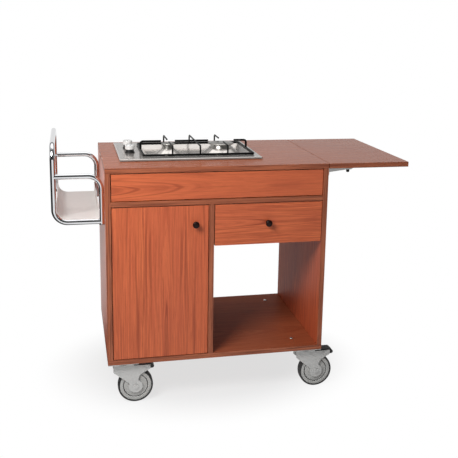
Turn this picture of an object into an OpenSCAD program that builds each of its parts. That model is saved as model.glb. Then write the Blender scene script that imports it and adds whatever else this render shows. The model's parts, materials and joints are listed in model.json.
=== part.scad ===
// Flambe trolley: a cherry-faced cabinet on castors with a two-burner gas hob,
// a folding leaf, a side rack of bent tube, a door, a drawer and an open bay.
// Millimetres. Z is up, the front faces -Y, the origin is on the floor under the middle.

/* [Cabinet] */
// Width of the cabinet
cabinet_w = 780; // [700:10:1000]
// Depth of the cabinet
cabinet_d = 550; // [500:10:700]
// Height of the cabinet without its castors
cabinet_h = 700; // [600:10:850]
// Thickness of the boards
board_t = 18; // [16:1:22]
// Height of the fixed fascia in front of the hob
fascia_h = 97; // [85:1:140]
// Width of the door's opening
door_open_w = 335; // [250:5:380]
// Height of the drawer's opening
drawer_open_h = 149; // [130:1:200]
// Gap round the door, the drawer front and the fascia
front_gap = 2.5; // [2:0.5:4]
// Thickness of the back panels
back_t = 8; // [4:1:12]
// Diameter of the hose hole in the backs
hose_hole_d = 32; // [24:1:45]

/* [Door and drawer] */
// Distance of the door's pivots from its hinge edge
pivot_in = 9; // [8:0.5:14]
// Distance of the door's pivots behind its face
pivot_back = 5; // [4.8:0.1:6]
// Diameter of the pivot pins
pivot_d = 4; // [3:0.5:5]
// Length of a pivot pin in the door
pivot_len = 14; // [10:1:20]
// Depth of the pivot bushes in the boards
bush_len = 9; // [7:1:12]
// Diameter of the round pull knobs
pull_d = 24; // [18:1:35]
// Projection of the round pull knobs
pull_out = 24; // [18:1:35]
// Distance of the door's pull below the door's top
door_pull_down = 64.5; // [40:0.5:300]
// Distance of the door's pull from the door's free edge
door_pull_in = 46; // [30:1:80]
// Depth of the drawer box
drawer_d = 450; // [350:10:460]
// Thickness of the drawer's boards
drawer_t = 12; // [10:1:15]
// Height of the drawer's sides
drawer_side_h = 105; // [80:5:112]
// Thickness of the drawer's bottom
drawer_bottom_t = 5; // [4:1:8]
// Depth of the grooves that hold the drawer's bottom
groove_d = 5; // [3:1:7]
// Room for a runner at each side of the drawer
runner_w = 12.7; // [11:0.1:14]
// Height of the runners
runner_h = 35; // [27:1:45]
// Thickness of the runners' steel
runner_t = 1.2; // [1:0.1:1.5]

/* [Leaf] */
// Width of the leaf
leaf_w = 300; // [200:10:400]
// Gap between the top and the leaf
leaf_gap = 2; // [1.5:0.5:4]
// Distance of the leaf's brackets from the front and the back
bracket_in = 60; // [40:5:120]
// Distance of the leaf's pivot from the cabinet's side
leaf_pivot_x = 13; // [12:0.5:16]
// Distance of the leaf's pivot below the leaf
leaf_pivot_z = 15; // [13:0.5:20]
// Length of the leaf's arms
arm_len = 104; // [100:1:160]
// Width of the leaf's arms
arm_w = 18; // [14:1:26]
// Height of the wall plates
wall_plate_h = 54; // [45:1:90]
// Thickness of the brackets' steel
bracket_t = 2; // [1.5:0.5:3]
// Diameter of the leaf's pivot pins
leaf_pin_d = 6; // [5:1:8]
// Distance of the buffers from the leaf's pivots
buffer_in = 80; // [70:1:88]
// Diameter of the rubber buffers
buffer_d = 14; // [10:1:18]

/* [Hob] */
// Width of the hob
hob_w = 510; // [480:5:560]
// Depth of the hob
hob_d = 380; // [360:5:400]
// Distance of the hob from the cabinet's left side
hob_x = 58; // [40:1:90]
// Distance of the hob from the cabinet's front
hob_y = 117; // [60:1:120]
// Height of the hob's plate above the top
hob_rise = 8; // [6:0.5:12]
// Thickness of the hob's sheet
hob_sheet = 1.5; // [1:0.1:2]
// Width of the rim that lies on the top
hob_rim = 18; // [12:1:22]
// Depth of the sunk well in the hob's plate
well_depth = 14; // [8:1:20]
// Run of the well's sloping walls
well_run = 17; // [8:1:20]
// Height of the burner seats above the hob's plate
seat_up = 5.5; // [3:0.5:8]
// Depth of the hob's case below the top's surface
hob_case_h = 70; // [60:1:80]
// Distance of the small burner from the hob's left edge
small_burner_x = 190; // [170:1:200]
// Distance of the large burner from the hob's left edge
large_burner_x = 391; // [370:1:400]
// Distance of both burners from the hob's front edge
burner_y = 180; // [170:1:200]
// Diameter of the small burner's cap
small_cap_d = 50; // [40:1:60]
// Diameter of the large burner's cap
large_cap_d = 96; // [80:1:105]
// Distance of the tap knobs from the hob's left edge
tap_x = 45; // [38:1:55]
// Distance of the tap knobs before and behind the hob's middle
tap_half = 53; // [40:1:80]
// Diameter of the tap knobs
tap_knob_d = 35; // [28:1:42]
// Height of the tap knobs
tap_knob_h = 16; // [15:1:30]
// Height of the collars under the tap knobs
collar_h = 13; // [6:1:18]
// Diameter of the tap stems
stem_d = 6; // [5:0.5:8]

/* [Pan support] */
// Diameter of the wire of the frame and the bars
frame_wire = 8; // [6:0.5:9]
// Diameter of the wire of the arches from front to back
finger_wire = 6; // [5:0.5:8]
// Height of the pan level above the top
pan_level = 46; // [40:1:55]
// Distance of the support from the hob's left edge
support_x = 88; // [82:1:95]
// Width of the support
support_w = 400; // [380:1:405]
// Depth of the support
support_d = 264; // [240:1:280]
// Bend radius of the wires
wire_bend = 9; // [7:1:12]

/* [Rack] */
// Diameter of the rack's tube
tube_d = 18; // [16:1:22]
// Wall of the rack's tube
tube_wall = 1.5; // [1:0.1:2]
// Distance of the legs from the cabinet's side
rack_reach = 167; // [140:1:220]
// Distance of the rack's frames from the front and the back
rack_in = 60; // [40:1:90]
// Height of the handle above the top
handle_up = 66; // [40:1:120]
// Depth of the guard's arms below the top
arm_down = 36; // [25:1:60]
// Depth of the rack's foot tubes below the top
rack_down = 194; // [160:1:260]
// Bend radius of the tubes
tube_bend = 45; // [36:1:55]
// Thickness of the tray's sheet
tray_t = 1.5; // [1:0.1:3]
// Height of the tray's edge beside the cabinet
tray_edge = 38; // [20:1:60]
// Height of the tray's wall beside the legs, above the tray's floor
tray_wall = 53; // [50:1:90]
// Diameter of the rack's bolts
rack_bolt_d = 6; // [5:1:8]

/* [Castors] */
// Height of a castor with its plate
castor_h = 160; // [150:1:180]
// Diameter of the wheels
wheel_d = 125; // [100:5:125]
// Width of the tyres
tyre_w = 30; // [24:1:32]
// Thickness of the tyres
tyre_t = 6.5; // [5:0.5:10]
// Distance of the wheel's axle from the swivel's axis
trail = 44; // [38:1:48]
// Length of the castor plates
plate_l = 105; // [100:1:115]
// Width of the castor plates
plate_w = 85; // [80:1:95]
// Thickness of the castor plates
plate_t = 3; // [2.5:0.5:5]
// Spacing of the plate's holes along its length
hole_l = 80; // [76:1:86]
// Spacing of the plate's holes along its width
hole_w = 60; // [58:1:66]
// Diameter of the castors' bolts
castor_bolt_d = 8; // [6:1:10]
// Diameter of the wheels' axles
axle_d = 10; // [8:1:12]
// Diameter of the swivels' king pins
king_d = 12; // [10:1:16]

/* [Hidden] */
$fn = 48;

// Clearances
run_fit = 0.05; // radial clearance of a pin that turns in its bore
clear = 0.3; // clearance between pieces that move past each other
eps = 1; // how far a cut passes the face that it opens

// Heights
under_z = castor_h;
bay_z = under_z + board_t;
top_z = under_z + cabinet_h;
top_under = top_z - board_t;
shelf_top = top_under - fascia_h;
shelf_under = shelf_top - board_t;
drawer_z = shelf_under - drawer_open_h;

// Places across the front
divider_x = board_t + door_open_w;
drawer_x0 = divider_x + board_t;
drawer_x1 = cabinet_w - board_t;

// Middle of the whole trolley, which stands over the origin
left_end = -rack_reach - tube_d / 2;
right_end = cabinet_w + leaf_gap + leaf_w;
mid_x = (left_end + right_end) / 2;
mid_y = (cabinet_d - pull_out) / 2;

// Colours
cherry = [0.72, 0.36, 0.24];
cherry_edge = [0.62, 0.34, 0.22];
steel = [0.78, 0.78, 0.78];
chrome = [0.86, 0.87, 0.88];
dark = [0.12, 0.12, 0.12];
grey_plastic = [0.66, 0.66, 0.65];

// Every piece is drawn from the cabinet's front left corner and then put over the origin
module placed() {
    translate([-mid_x, -mid_y, 0]) children();
}

// A board from one corner to the opposite one
module slab(low, high) {
    translate(low) cube(high - low);
}

// A cylinder from a point along an axis: 0 is X, 1 is Y, 2 is Z
module rod(at, axis, len, dia) {
    turns = [[0, 90, 0], [-90, 0, 0], [0, 0, 0]];
    translate(at) rotate(turns[axis]) cylinder(d = dia, h = len);
}

// Cabinet

module left_side() {
    color(cherry) placed() difference() {
        slab([0, 0, bay_z], [board_t, cabinet_d, top_under]);
        for (y = rack_ys, z = rack_bolt_zs) rod([-eps, y, z], 0, board_t + 2 * eps, rack_bolt_d);
    }
}

module right_side() {
    color(cherry) placed() slab([cabinet_w - board_t, 0, bay_z], [cabinet_w, cabinet_d, top_under]);
}

module top_panel() {
    color(cherry) placed() difference() {
        slab([0, 0, top_under], [cabinet_w, cabinet_d, top_z]);
        translate([0, 0, top_under - eps])
            slab([case_x0, case_y0, 0], [case_x1, case_y1, board_t + 2 * eps]);
    }
}

module bottom_panel() {
    color(cherry_edge) placed() difference() {
        slab([0, 0, under_z], [cabinet_w, cabinet_d, bay_z]);
        for (c = castors) {
            through = through_hole(c);
            rod([through[0], through[1], under_z - eps], 2, board_t + 2 * eps, castor_bolt_d);
            for (p = screw_holes(c)) rod([p[0], p[1], under_z - eps], 2, screw_len + eps, screw_d);
        }
        rod([pivot_x, pivot_back, bay_z - bush_len], 2, bush_len + eps, bush_d);
    }
}

module hob_shelf() {
    color(cherry) placed() difference() {
        slab([board_t, 0, shelf_under], [cabinet_w - board_t, cabinet_d - back_t, shelf_top]);
        rod([pivot_x, pivot_back, shelf_under - eps], 2, bush_len + eps, bush_d);
        rod([hose_x, hose_y, shelf_under - eps], 2, board_t + 2 * eps, hose_hole_d);
    }
}

module divider() {
    color(cherry) placed() slab([divider_x, 0, bay_z], [drawer_x0, cabinet_d, shelf_under]);
}

module fascia() {
    color(cherry) placed() slab([board_t + front_gap, 0, shelf_top + front_gap],
        [drawer_x1 - front_gap, board_t, top_under - front_gap]);
}

// Two battens on the shelf that the fascia is glued to
module fascia_cleats() {
    color(cherry_edge) placed() for (x = [board_t + cleat_in, drawer_x1 - cleat_in - cleat_w])
        slab([x, board_t, shelf_top], [x + cleat_w, board_t + cleat_d, shelf_top + cleat_h]);
}

module door_bay_back() {
    color(cherry) placed()
        slab([board_t, cabinet_d - back_t, bay_z], [divider_x, cabinet_d, shelf_under]);
}

module hob_bay_back() {
    color(cherry) placed() difference() {
        slab([board_t, cabinet_d - back_t, shelf_under], [drawer_x1, cabinet_d, top_under]);
        rod([inlet_x, cabinet_d - back_t - eps, inlet_z], 1, back_t + 2 * eps, hose_hole_d);
    }
}

module drawer_back_panel() {
    color(cherry) placed()
        slab([drawer_x0, cabinet_d - back_t, drawer_z], [drawer_x1, cabinet_d, shelf_under]);
}

// The gas hose comes up from the bottle in the door's bay and in at the back
hose_x = board_t + 60;
hose_y = cabinet_d - back_t - 40;

// The fascia's cleats
cleat_in = 60; // distance from the sides
cleat_w = 120;
cleat_d = 20;
cleat_h = 30;

// Door, hung on two pivots at its left edge

door_x0 = board_t + front_gap;
door_x1 = divider_x - front_gap;
door_z0 = bay_z + front_gap;
door_z1 = shelf_under - front_gap;
pivot_x = door_x0 + pivot_in;
bush_d = pivot_d + 3;
bush_flange_d = pivot_d + 5.4;
bush_flange_t = front_gap / 2;
collar_t = front_gap - bush_flange_t - clear;
pull_screw_d = 4;

module door_panel() {
    color(cherry) placed() difference() {
        slab([door_x0, 0, door_z0], [door_x1, board_t, door_z1]);
        rod([pivot_x, pivot_back, door_z0 - eps], 2, pivot_len + eps, pivot_d);
        rod([pivot_x, pivot_back, door_z1 - pivot_len], 2, pivot_len + eps, pivot_d);
        rod([door_pull_x, -eps, door_pull_at], 1, board_t + 2 * eps, pull_screw_d);
    }
}

door_pull_x = door_x1 - door_pull_in;
door_pull_at = door_z1 - door_pull_down;

// A turned pull with its screw through the panel behind it
module pull(x, z) {
    neck = pull_d * 0.5;
    translate([x, 0, z]) rotate([90, 0, 0]) rotate_extrude() polygon([
        [0, 0], [neck * 0.62, 0], [neck * 0.5, pull_out * 0.12], [neck * 0.46, pull_out * 0.4],
        [pull_d * 0.4, pull_out * 0.52], [pull_d * 0.5, pull_out * 0.64], [pull_d * 0.5, pull_out * 0.8],
        [pull_d * 0.42, pull_out * 0.94], [pull_d * 0.3, pull_out], [0, pull_out]]);
    rod([x, 0, z], 1, board_t, pull_screw_d);
    rod([x, board_t, z], 1, 2.5, pull_screw_d * 2);
}

module door_pull() {
    color(dark) placed() pull(door_pull_x, door_pull_at);
}

// A pivot pin stands in the door's edge; its collar carries the door on the bush
module door_pivots() {
    long = pivot_len + front_gap + bush_len - 1;
    color(steel) placed() {
        union() {
            rod([pivot_x, pivot_back, door_z0 - front_gap - bush_len + 1], 2, long, pivot_d);
            rod([pivot_x, pivot_back, door_z0 - collar_t], 2, collar_t, bush_flange_d);
        }
        union() {
            rod([pivot_x, pivot_back, door_z1 - pivot_len], 2, long, pivot_d);
            rod([pivot_x, pivot_back, door_z1], 2, collar_t, bush_flange_d);
        }
    }
}

module bush(z, up) {
    translate([pivot_x, pivot_back, z]) mirror([0, 0, up ? 0 : 1]) difference() {
        union() {
            translate([0, 0, -bush_len]) cylinder(d = bush_d, h = bush_len);
            cylinder(d = bush_flange_d, h = bush_flange_t);
        }
        translate([0, 0, -bush_len - eps])
            cylinder(d = pivot_d + 2 * run_fit, h = bush_len + bush_flange_t + 2 * eps);
    }
}

module pivot_bushes() {
    color("white") placed() {
        bush(bay_z, true);
        bush(shelf_under, false);
    }
}

// Drawer on a pair of channel runners

front_x0 = drawer_x0 + front_gap;
front_x1 = drawer_x1 - front_gap;
box_x0 = drawer_x0 + runner_w;
box_x1 = drawer_x1 - runner_w;
box_z0 = drawer_z + (drawer_open_h - drawer_side_h) / 2 - 6;
box_y1 = board_t + drawer_d;
bottom_z = box_z0 + 10;
runner_z = box_z0 + drawer_side_h / 2;
drawer_pull_x = (drawer_x0 + drawer_x1) / 2 - 4;
drawer_pull_at = drawer_z + drawer_open_h * 0.52;

module drawer_front() {
    color(cherry) placed() difference() {
        slab([front_x0, 0, drawer_z], [front_x1, board_t, shelf_under - front_gap]);
        rod([drawer_pull_x, -eps, drawer_pull_at], 1, board_t + 2 * eps, pull_screw_d);
    }
}

module drawer_box() {
    color([0.86, 0.84, 0.8]) placed() difference() {
        union() {
            slab([box_x0, board_t, box_z0], [box_x0 + drawer_t, box_y1, box_z0 + drawer_side_h]);
            slab([box_x1 - drawer_t, board_t, box_z0], [box_x1, box_y1, box_z0 + drawer_side_h]);
            slab([box_x0 + drawer_t, board_t, box_z0], [box_x1 - drawer_t, board_t + drawer_t,
                box_z0 + drawer_side_h]);
            slab([box_x0 + drawer_t, box_y1 - drawer_t, box_z0], [box_x1 - drawer_t, box_y1,
                box_z0 + drawer_side_h]);
        }
        slab([box_x0 + drawer_t - groove_d, board_t + drawer_t - groove_d, bottom_z],
            [box_x1 - drawer_t + groove_d, box_y1 - drawer_t + groove_d, bottom_z + drawer_bottom_t]);
        rod([drawer_pull_x, board_t - eps, drawer_pull_at], 1, drawer_t, pull_screw_d * 2 + 1);
    }
}

module drawer_bottom() {
    color([0.9, 0.89, 0.86]) placed()
        slab([box_x0 + drawer_t - groove_d, board_t + drawer_t - groove_d, bottom_z],
            [box_x1 - drawer_t + groove_d, box_y1 - drawer_t + groove_d, bottom_z + drawer_bottom_t]);
}

module drawer_pull() {
    color(dark) placed() pull(drawer_pull_x, drawer_pull_at);
}

// A channel with its web at x, open towards the side that the sign says
module channel(x, side, high, wide, y0, y1) {
    t = runner_t;
    translate([x, 0, runner_z]) mirror([side > 0 ? 0 : 1, 0, 0]) {
        slab([0, y0, -high / 2], [t, y1, high / 2]);
        for (m = [0, 1]) mirror([0, 0, m]) slab([0, y0, high / 2 - t], [wide, y1, high / 2]);
    }
}

module cabinet_runners() {
    wide = runner_w - 1;
    color(steel) placed() {
        channel(drawer_x0, 1, runner_h, wide, board_t + 4, box_y1);
        channel(drawer_x1, -1, runner_h, wide, board_t + 4, box_y1);
    }
}

module drawer_runners() {
    high = runner_h - 2 * runner_t - 2 * clear;
    wide = runner_w - runner_t - 1;
    color(steel) placed() {
        channel(box_x0, -1, high, wide, board_t + 4, box_y1);
        channel(box_x1, 1, high, wide, board_t + 4, box_y1);
    }
}

// Leaf on two folding brackets

leaf_x0 = cabinet_w + leaf_gap;
hinge_x = cabinet_w + leaf_pivot_x;
hinge_z = top_under - leaf_pivot_z;
bracket_ys = [bracket_in, cabinet_d - bracket_in];
arm_end_r = leaf_pivot_x - bracket_t - 2;
plate_drop = 2.2; // room above the wall plates, which the leaf turns past
cheek_past = 6; // how far the wall plates' cheeks reach past the pivot

module leaf_panel() {
    color(cherry) placed() slab([leaf_x0, 0, top_under], [leaf_x0 + leaf_w, cabinet_d, top_z]);
}

// The side view of an arm, with its pivot at the origin
module arm_outline(t) {
    up = leaf_pivot_z;
    rotate([90, 0, 0]) translate([0, 0, -t / 2]) linear_extrude(t) polygon([
        [leaf_x0 - hinge_x + 1, up], [arm_len, up], [arm_len, up - 5], [buffer_in + buffer_d * 0.7, 0],
        [buffer_in - buffer_d * 0.7, 0], [buffer_in - buffer_d, -1], [0, -arm_end_r],
        [-arm_end_r * 0.9, 0]]);
    rod([0, -t / 2, 0], 1, t, arm_end_r * 2);
}

module leaf_arms() {
    inner = arm_w - 2 * bracket_t;
    color(steel) placed() for (y = bracket_ys) translate([hinge_x, y, hinge_z]) difference() {
        arm_outline(arm_w);
        translate([-arm_end_r - eps, -inner / 2, -arm_end_r - eps])
            cube([arm_len + arm_end_r + 2 * eps, inner, leaf_pivot_z + arm_end_r + eps - bracket_t]);
        rod([0, -arm_w, 0], 1, 2 * arm_w, leaf_pin_d + 2 * run_fit);
    }
}

// A channel on the cabinet's side that the arm turns in
module leaf_wall_plates() {
    inner = arm_w + 2 * clear;
    deep = leaf_pivot_x + cheek_past;
    color(steel) placed() for (y = bracket_ys) translate([cabinet_w, y, top_under]) {
        difference() {
            union() {
                slab([0, -inner / 2 - bracket_t, -wall_plate_h],
                    [bracket_t, inner / 2 + bracket_t, -plate_drop]);
                for (s = [-1, 1]) translate([0, s * (inner + bracket_t) / 2, 0]) difference() {
                    slab([0, -bracket_t / 2, -wall_plate_h], [deep, bracket_t / 2, -plate_drop]);
                    translate([deep, 0, -wall_plate_h]) rotate([0, 30, 0])
                        cube([deep * 1.2, 2 * bracket_t, wall_plate_h], center = true);
                }
            }
            rod([leaf_pivot_x, -arm_w, -leaf_pivot_z], 1, 2 * arm_w, leaf_pin_d);
        }
    }
}

// Headed pins, tight in the wall plates
module leaf_pins() {
    long = arm_w + 2 * clear + 2 * bracket_t;
    color(steel) placed() for (y = bracket_ys) translate([hinge_x, y, hinge_z]) {
        rod([0, -long / 2, 0], 1, long, leaf_pin_d);
        for (s = [-1, 1]) translate([0, s * (long / 2 + 0.9), 0]) rod([0, -0.9, 0], 1, 1.8, leaf_pin_d * 1.6);
    }
}

// Rubber buttons that meet the cabinet's side when the leaf hangs down
module leaf_buffers() {
    low = leaf_pivot_x - 2;
    color(dark) placed() for (y = bracket_ys) translate([hinge_x + buffer_in, y, hinge_z])
        rotate([180, 0, 0]) translate([0, 0, -leaf_pivot_z + bracket_t]) {
            cylinder(d = buffer_d - 2, h = low + leaf_pivot_z - bracket_t - 3);
            translate([0, 0, low + leaf_pivot_z - bracket_t - 3]) cylinder(d1 = buffer_d - 2, d2 = 8, h = 3);
        }
}

// Hob

// The plate is as wide as it is set, or as the support and its well need
hob_plate_w = max(hob_w, support_x + support_w - frame_wire / 2 + 3 * hob_sheet + clear + hob_rim);
case_x0 = hob_x + hob_rim;
case_x1 = hob_x + hob_plate_w - hob_rim;
case_y0 = hob_y + hob_rim;
case_y1 = hob_y + hob_d - hob_rim;
plate_z = top_z + hob_rise;
burner_yy = hob_y + burner_y;
burners = [[hob_x + small_burner_x, small_cap_d], [hob_x + large_burner_x, large_cap_d]];
seat_z = plate_z + seat_up;
well_z = plate_z - well_depth;
head_h = 15;
cap_h = 6;
tap_ys = [hob_y + hob_d / 2 - tap_half, hob_y + hob_d / 2 + tap_half];
tap_at_x = hob_x + tap_x;
inlet_x = tap_at_x;
inlet_z = top_z - 45;

// An outline with rounded upper corners, from the left end to the right end
function rim_profile(long, high, r, n = 5) = concat([[0, 0]],
    [for (i = [0 : n]) let (a = 180 - 90 * i / n) [r + r * cos(a), high - r + r * sin(a)]],
    [for (i = [0 : n]) let (a = 90 - 90 * i / n) [long - r + r * cos(a), high - r + r * sin(a)]],
    [[long, 0]]);

// A low block whose upper edges are rounded on all four sides
module pillow(long, deep, high, r) {
    intersection() {
        translate([0, deep, 0]) rotate([90, 0, 0]) linear_extrude(deep)
            polygon(rim_profile(long, high, r));
        rotate([90, 0, 90]) linear_extrude(long) polygon(rim_profile(deep, high, r));
    }
}

// A block that narrows downwards: its top is long by deep, and its sides slope in by run over the height high
module basin(long, deep, high, run) {
    intersection() {
        translate([0, deep / 2, 0]) rotate([90, 0, 0]) linear_extrude(deep)
            polygon(slope_profile(long, high, run));
        translate([-long / 2, 0, 0]) rotate([90, 0, 90]) linear_extrude(long)
            polygon(slope_profile(deep, high, run));
    }
}

function slope_profile(long, high, run) = [
    [-long / 2, 0], [long / 2, 0], [long / 2 - run, -high], [run - long / 2, -high]];

// A cone on the well's floor that carries a burner; out widens it and lifts its top
module pedestal(b, out) {
    translate([b[0], burner_yy, well_z - hob_sheet])
        cylinder(d1 = foot_d(b) + 2 * out, d2 = seat_d(b) + 2 * out, h = seat_z - well_z + hob_sheet + out);
}

function seat_d(b) = b[1] * 0.98;
function foot_d(b) = b[1] * 0.98 + 60;

// The pressed plate: a raised rim, a sunk well with sloping walls and a pedestal for each burner
module hob_plate() {
    s = hob_sheet;
    long = support_w - frame_wire;
    deep = support_d - frame_wire;
    centre = [sup_x0 + support_w / 2, burner_yy, plate_z];
    color(steel) placed() difference() {
        union() {
            difference() {
                translate([hob_x, hob_y, top_z]) difference() {
                    pillow(hob_plate_w, hob_d, hob_rise, 5);
                    translate([s, s, -eps]) pillow(hob_plate_w - 2 * s, hob_d - 2 * s, hob_rise - s + eps, 5 - s);
                }
                translate(centre - [0, 0, 2 * s]) slab([-long / 2, -deep / 2, 0], [long / 2, deep / 2, 4 * s]);
            }
            difference() {
                translate(centre) basin(long + 2 * s, deep + 2 * s, well_depth + s, well_run);
                translate(centre) basin(long, deep, well_depth, well_run);
                translate(centre) slab([-long / 2, -deep / 2, -0.01], [long / 2, deep / 2, eps]);
                for (b = burners) pedestal(b, -s);
            }
            for (b = burners) difference() {
                pedestal(b, 0);
                translate([0, 0, -0.01]) pedestal(b, -s);
            }
        }
        for (b = burners) rod([b[0], burner_yy, seat_z - s - eps], 2, s + 2 * eps, throat_d(b) + 2 * run_fit);
        for (y = tap_ys) rod([tap_at_x, y, plate_z - s - eps], 2, s + 2 * eps, stem_d + 4);
    }
}

function throat_d(b) = b[1] * 0.5;

// The sheet steel case below the plate, open upwards
module hob_case() {
    s = hob_sheet;
    low = top_z - hob_case_h;
    color(steel) placed() difference() {
        slab([case_x0 + 1, case_y0 + 1, low], [case_x1 - 1, case_y1 - 1, top_z + hob_rise - s]);
        slab([case_x0 + 1 + s, case_y0 + 1 + s, low + s], [case_x1 - 1 - s, case_y1 - 1 - s, plate_z]);
        rod([inlet_x, case_y1 - 5, inlet_z], 1, 10, 14);
    }
}

// A burner head: a flanged body with a ring of flame ports, standing on its pedestal
module burner_head(b) {
    d = b[1];
    ports = round(d * 0.5);
    translate([b[0], burner_yy, seat_z]) difference() {
        union() {
            translate([0, 0, -20]) cylinder(d = throat_d(b), h = 20.5);
            cylinder(d = d * 0.96, h = 2.5);
            translate([0, 0, 2.5]) cylinder(d1 = d * 0.86, d2 = d * 0.8, h = head_h - 2.5);
        }
        translate([0, 0, 5]) cylinder(d = d * 0.62, h = head_h);
        for (i = [0 : ports - 1]) rotate(i * 360 / ports)
            translate([d * 0.25, -0.9, head_h - 5]) cube([d * 0.25, 1.8, 6]);
    }
}

module burner_heads() {
    color(chrome) placed() for (b = burners) burner_head(b);
}

module burner_cap(b) {
    d = b[1];
    translate([b[0], burner_yy, seat_z + head_h + clear]) rotate_extrude() polygon([
        [0, -3], [d * 0.3 - clear, -3], [d * 0.3 - clear, 0], [d * 0.5 - 0.8, 0], [d * 0.5, 0.8],
        [d * 0.5, cap_h * 0.5], [d * 0.46, cap_h * 0.8], [d * 0.36, cap_h], [0, cap_h + 0.6]]);
}

module small_burner_cap() {
    color(chrome) placed() burner_cap(burners[0]);
}

module large_burner_cap() {
    color(chrome) placed() burner_cap(burners[1]);
}

// Pan support: a low wire frame with fingers that rise from it to the pan level

low_z = plate_z + clear + frame_wire / 2;
sup_x0 = hob_x + support_x;
sup_x1 = sup_x0 + support_w;
sup_y0 = burner_yy - support_d / 2;
sup_y1 = burner_yy + support_d / 2;
small_gap = small_cap_d * 0.53;
large_gap = large_cap_d * 0.52;

// Height of the middle of a wire whose top is at the pan level
function pan_z(d) = top_z + pan_level - d / 2;

// A finger in the plane of X and Z: it rises at the origin and runs len along X
module finger(len, d) {
    rise = pan_z(d) - low_z;
    cylinder(d = d, h = rise - wire_bend);
    translate([wire_bend, 0, rise - wire_bend]) rotate([90, 0, 0]) rotate([0, 0, 90])
        rotate_extrude(angle = 90) translate([wire_bend, 0]) circle(d = d);
    translate([wire_bend, 0, rise]) rotate([0, 90, 0]) cylinder(d = d, h = len - wire_bend);
}

// The arches from front to back, as [x, length of each half]; the middle one is whole
arches = [[(burners[0][0] + burners[1][0]) / 2, support_d / 2],
    for (b = burners) [b[0], support_d / 2 - b[1] * 0.38 - 13]];

module pan_support() {
    corner = wire_bend;
    color(dark) placed() {
        for (y = [sup_y0, sup_y1]) rod([sup_x0 + corner, y, low_z], 0, support_w - 2 * corner, frame_wire);
        for (x = [sup_x0, sup_x1]) rod([x, sup_y0 + corner, low_z], 1, support_d - 2 * corner, frame_wire);
        for (mx = [0, 1], my = [0, 1])
            translate([mx ? sup_x1 - corner : sup_x0 + corner, my ? sup_y1 - corner : sup_y0 + corner, low_z])
                mirror([mx ? 0 : 1, 0, 0]) mirror([0, my ? 0 : 1, 0])
                    rotate_extrude(angle = 90) translate([corner, 0]) circle(d = frame_wire);
        translate([sup_x0, burner_yy, low_z]) finger(burners[0][0] - small_gap - sup_x0, frame_wire);
        translate([sup_x1, burner_yy, low_z]) mirror([1, 0, 0])
            finger(sup_x1 - burners[1][0] - large_gap, frame_wire);
        rod([burners[0][0] + small_gap, burner_yy, pan_z(frame_wire)], 0,
            burners[1][0] - large_gap - burners[0][0] - small_gap, frame_wire);
        for (my = [0, 1], arch = arches) translate([arch[0], my ? sup_y1 : sup_y0, low_z])
            rotate(my ? -90 : 90) finger(arch[1], finger_wire);
    }
}

// Taps

module tap_knob(y) {
    d = tap_knob_d;
    translate([tap_at_x, y, plate_z + collar_h + clear]) difference() {
        rotate_extrude() polygon([[0, 0], [d * 0.46, 0], [d * 0.48, tap_knob_h * 0.15],
            [d * 0.5, tap_knob_h * 0.3], [d * 0.5, tap_knob_h * 0.82], [d * 0.47, tap_knob_h * 0.94],
            [d * 0.42, tap_knob_h], [0, tap_knob_h]]);
        translate([-0.8, -d * 0.5 - eps, tap_knob_h - 1]) cube([1.6, d * 0.28, 2]);
        translate([0, 0, -eps]) cylinder(d = stem_d, h = stem_in_knob + eps);
    }
}

stem_in_knob = 11;

module front_tap_knob() {
    color([0.88, 0.88, 0.87]) placed() tap_knob(tap_ys[0]);
}

module rear_tap_knob() {
    color([0.88, 0.88, 0.87]) placed() tap_knob(tap_ys[1]);
}

tap_top = plate_z - hob_sheet;
tap_h = 34;
tap_d = 22;
branch_d = 9;
pipe_d = 10;
inlet_d = 16;
inlet_len = 12;
inlet_past = 8; // how far the pipe passes the hob's case before the inlet

// A stem runs from inside the tap to inside its knob
module tap_stem(y) {
    low = tap_top - tap_h + 10;
    high = plate_z + collar_h + clear + stem_in_knob;
    rod([tap_at_x, y, low], 2, high - low, stem_d);
}

module front_tap_stem() {
    color(steel) placed() tap_stem(tap_ys[0]);
}

module rear_tap_stem() {
    color(steel) placed() tap_stem(tap_ys[1]);
}

module tap_collars() {
    color(dark) placed() for (y = tap_ys) translate([tap_at_x, y, plate_z]) difference() {
        union() {
            cylinder(d = tap_knob_d, h = collar_h * 0.3);
            cylinder(d1 = tap_knob_d * 0.9, d2 = tap_knob_d * 0.82, h = collar_h);
        }
        translate([0, 0, -eps]) cylinder(d = stem_d + 2, h = collar_h + 2 * eps);
    }
}

// The taps hang from the plate on a common pipe that ends in the gas inlet
module gas_manifold() {
    color([0.75, 0.62, 0.3]) placed() difference() {
        union() {
            for (y = tap_ys) {
                rod([tap_at_x, y, tap_top - tap_h], 2, tap_h, tap_d);
                rod([tap_at_x, y, inlet_z], 2, tap_top - tap_h - inlet_z + eps, branch_d);
            }
            rod([inlet_x, tap_ys[0] - branch_d, inlet_z], 1, case_y1 + inlet_past - tap_ys[0] + branch_d, pipe_d);
            rod([inlet_x, case_y1 + inlet_past, inlet_z], 1, inlet_len, inlet_d);
        }
        for (y = tap_ys)
            rod([tap_at_x, y, tap_top - tap_h + 10 - clear], 2, tap_h, stem_d + 2 * run_fit);
    }
}

// Rack

tube_r = tube_d / 2;
rack_ys = [rack_in, cabinet_d - rack_in];
upright_x = -tube_r - 0.2;
foot_z = top_z - rack_down;
arm_z = top_z - arm_down;
handle_z = top_z + handle_up;
rack_bolt_zs = [foot_z + 30, arm_z - tube_bend - 20];
cope = 0.05; // room between a tube and the one that meets its side

// A quarter bend in the plane of X and Z, from pointing along -X at the origin to pointing up
module quarter(d) {
    translate([0, 0, tube_bend]) rotate([90, 0, 0]) rotate([0, 0, 180])
        rotate_extrude(angle = 90) translate([tube_bend, 0]) circle(d = d);
}

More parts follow.
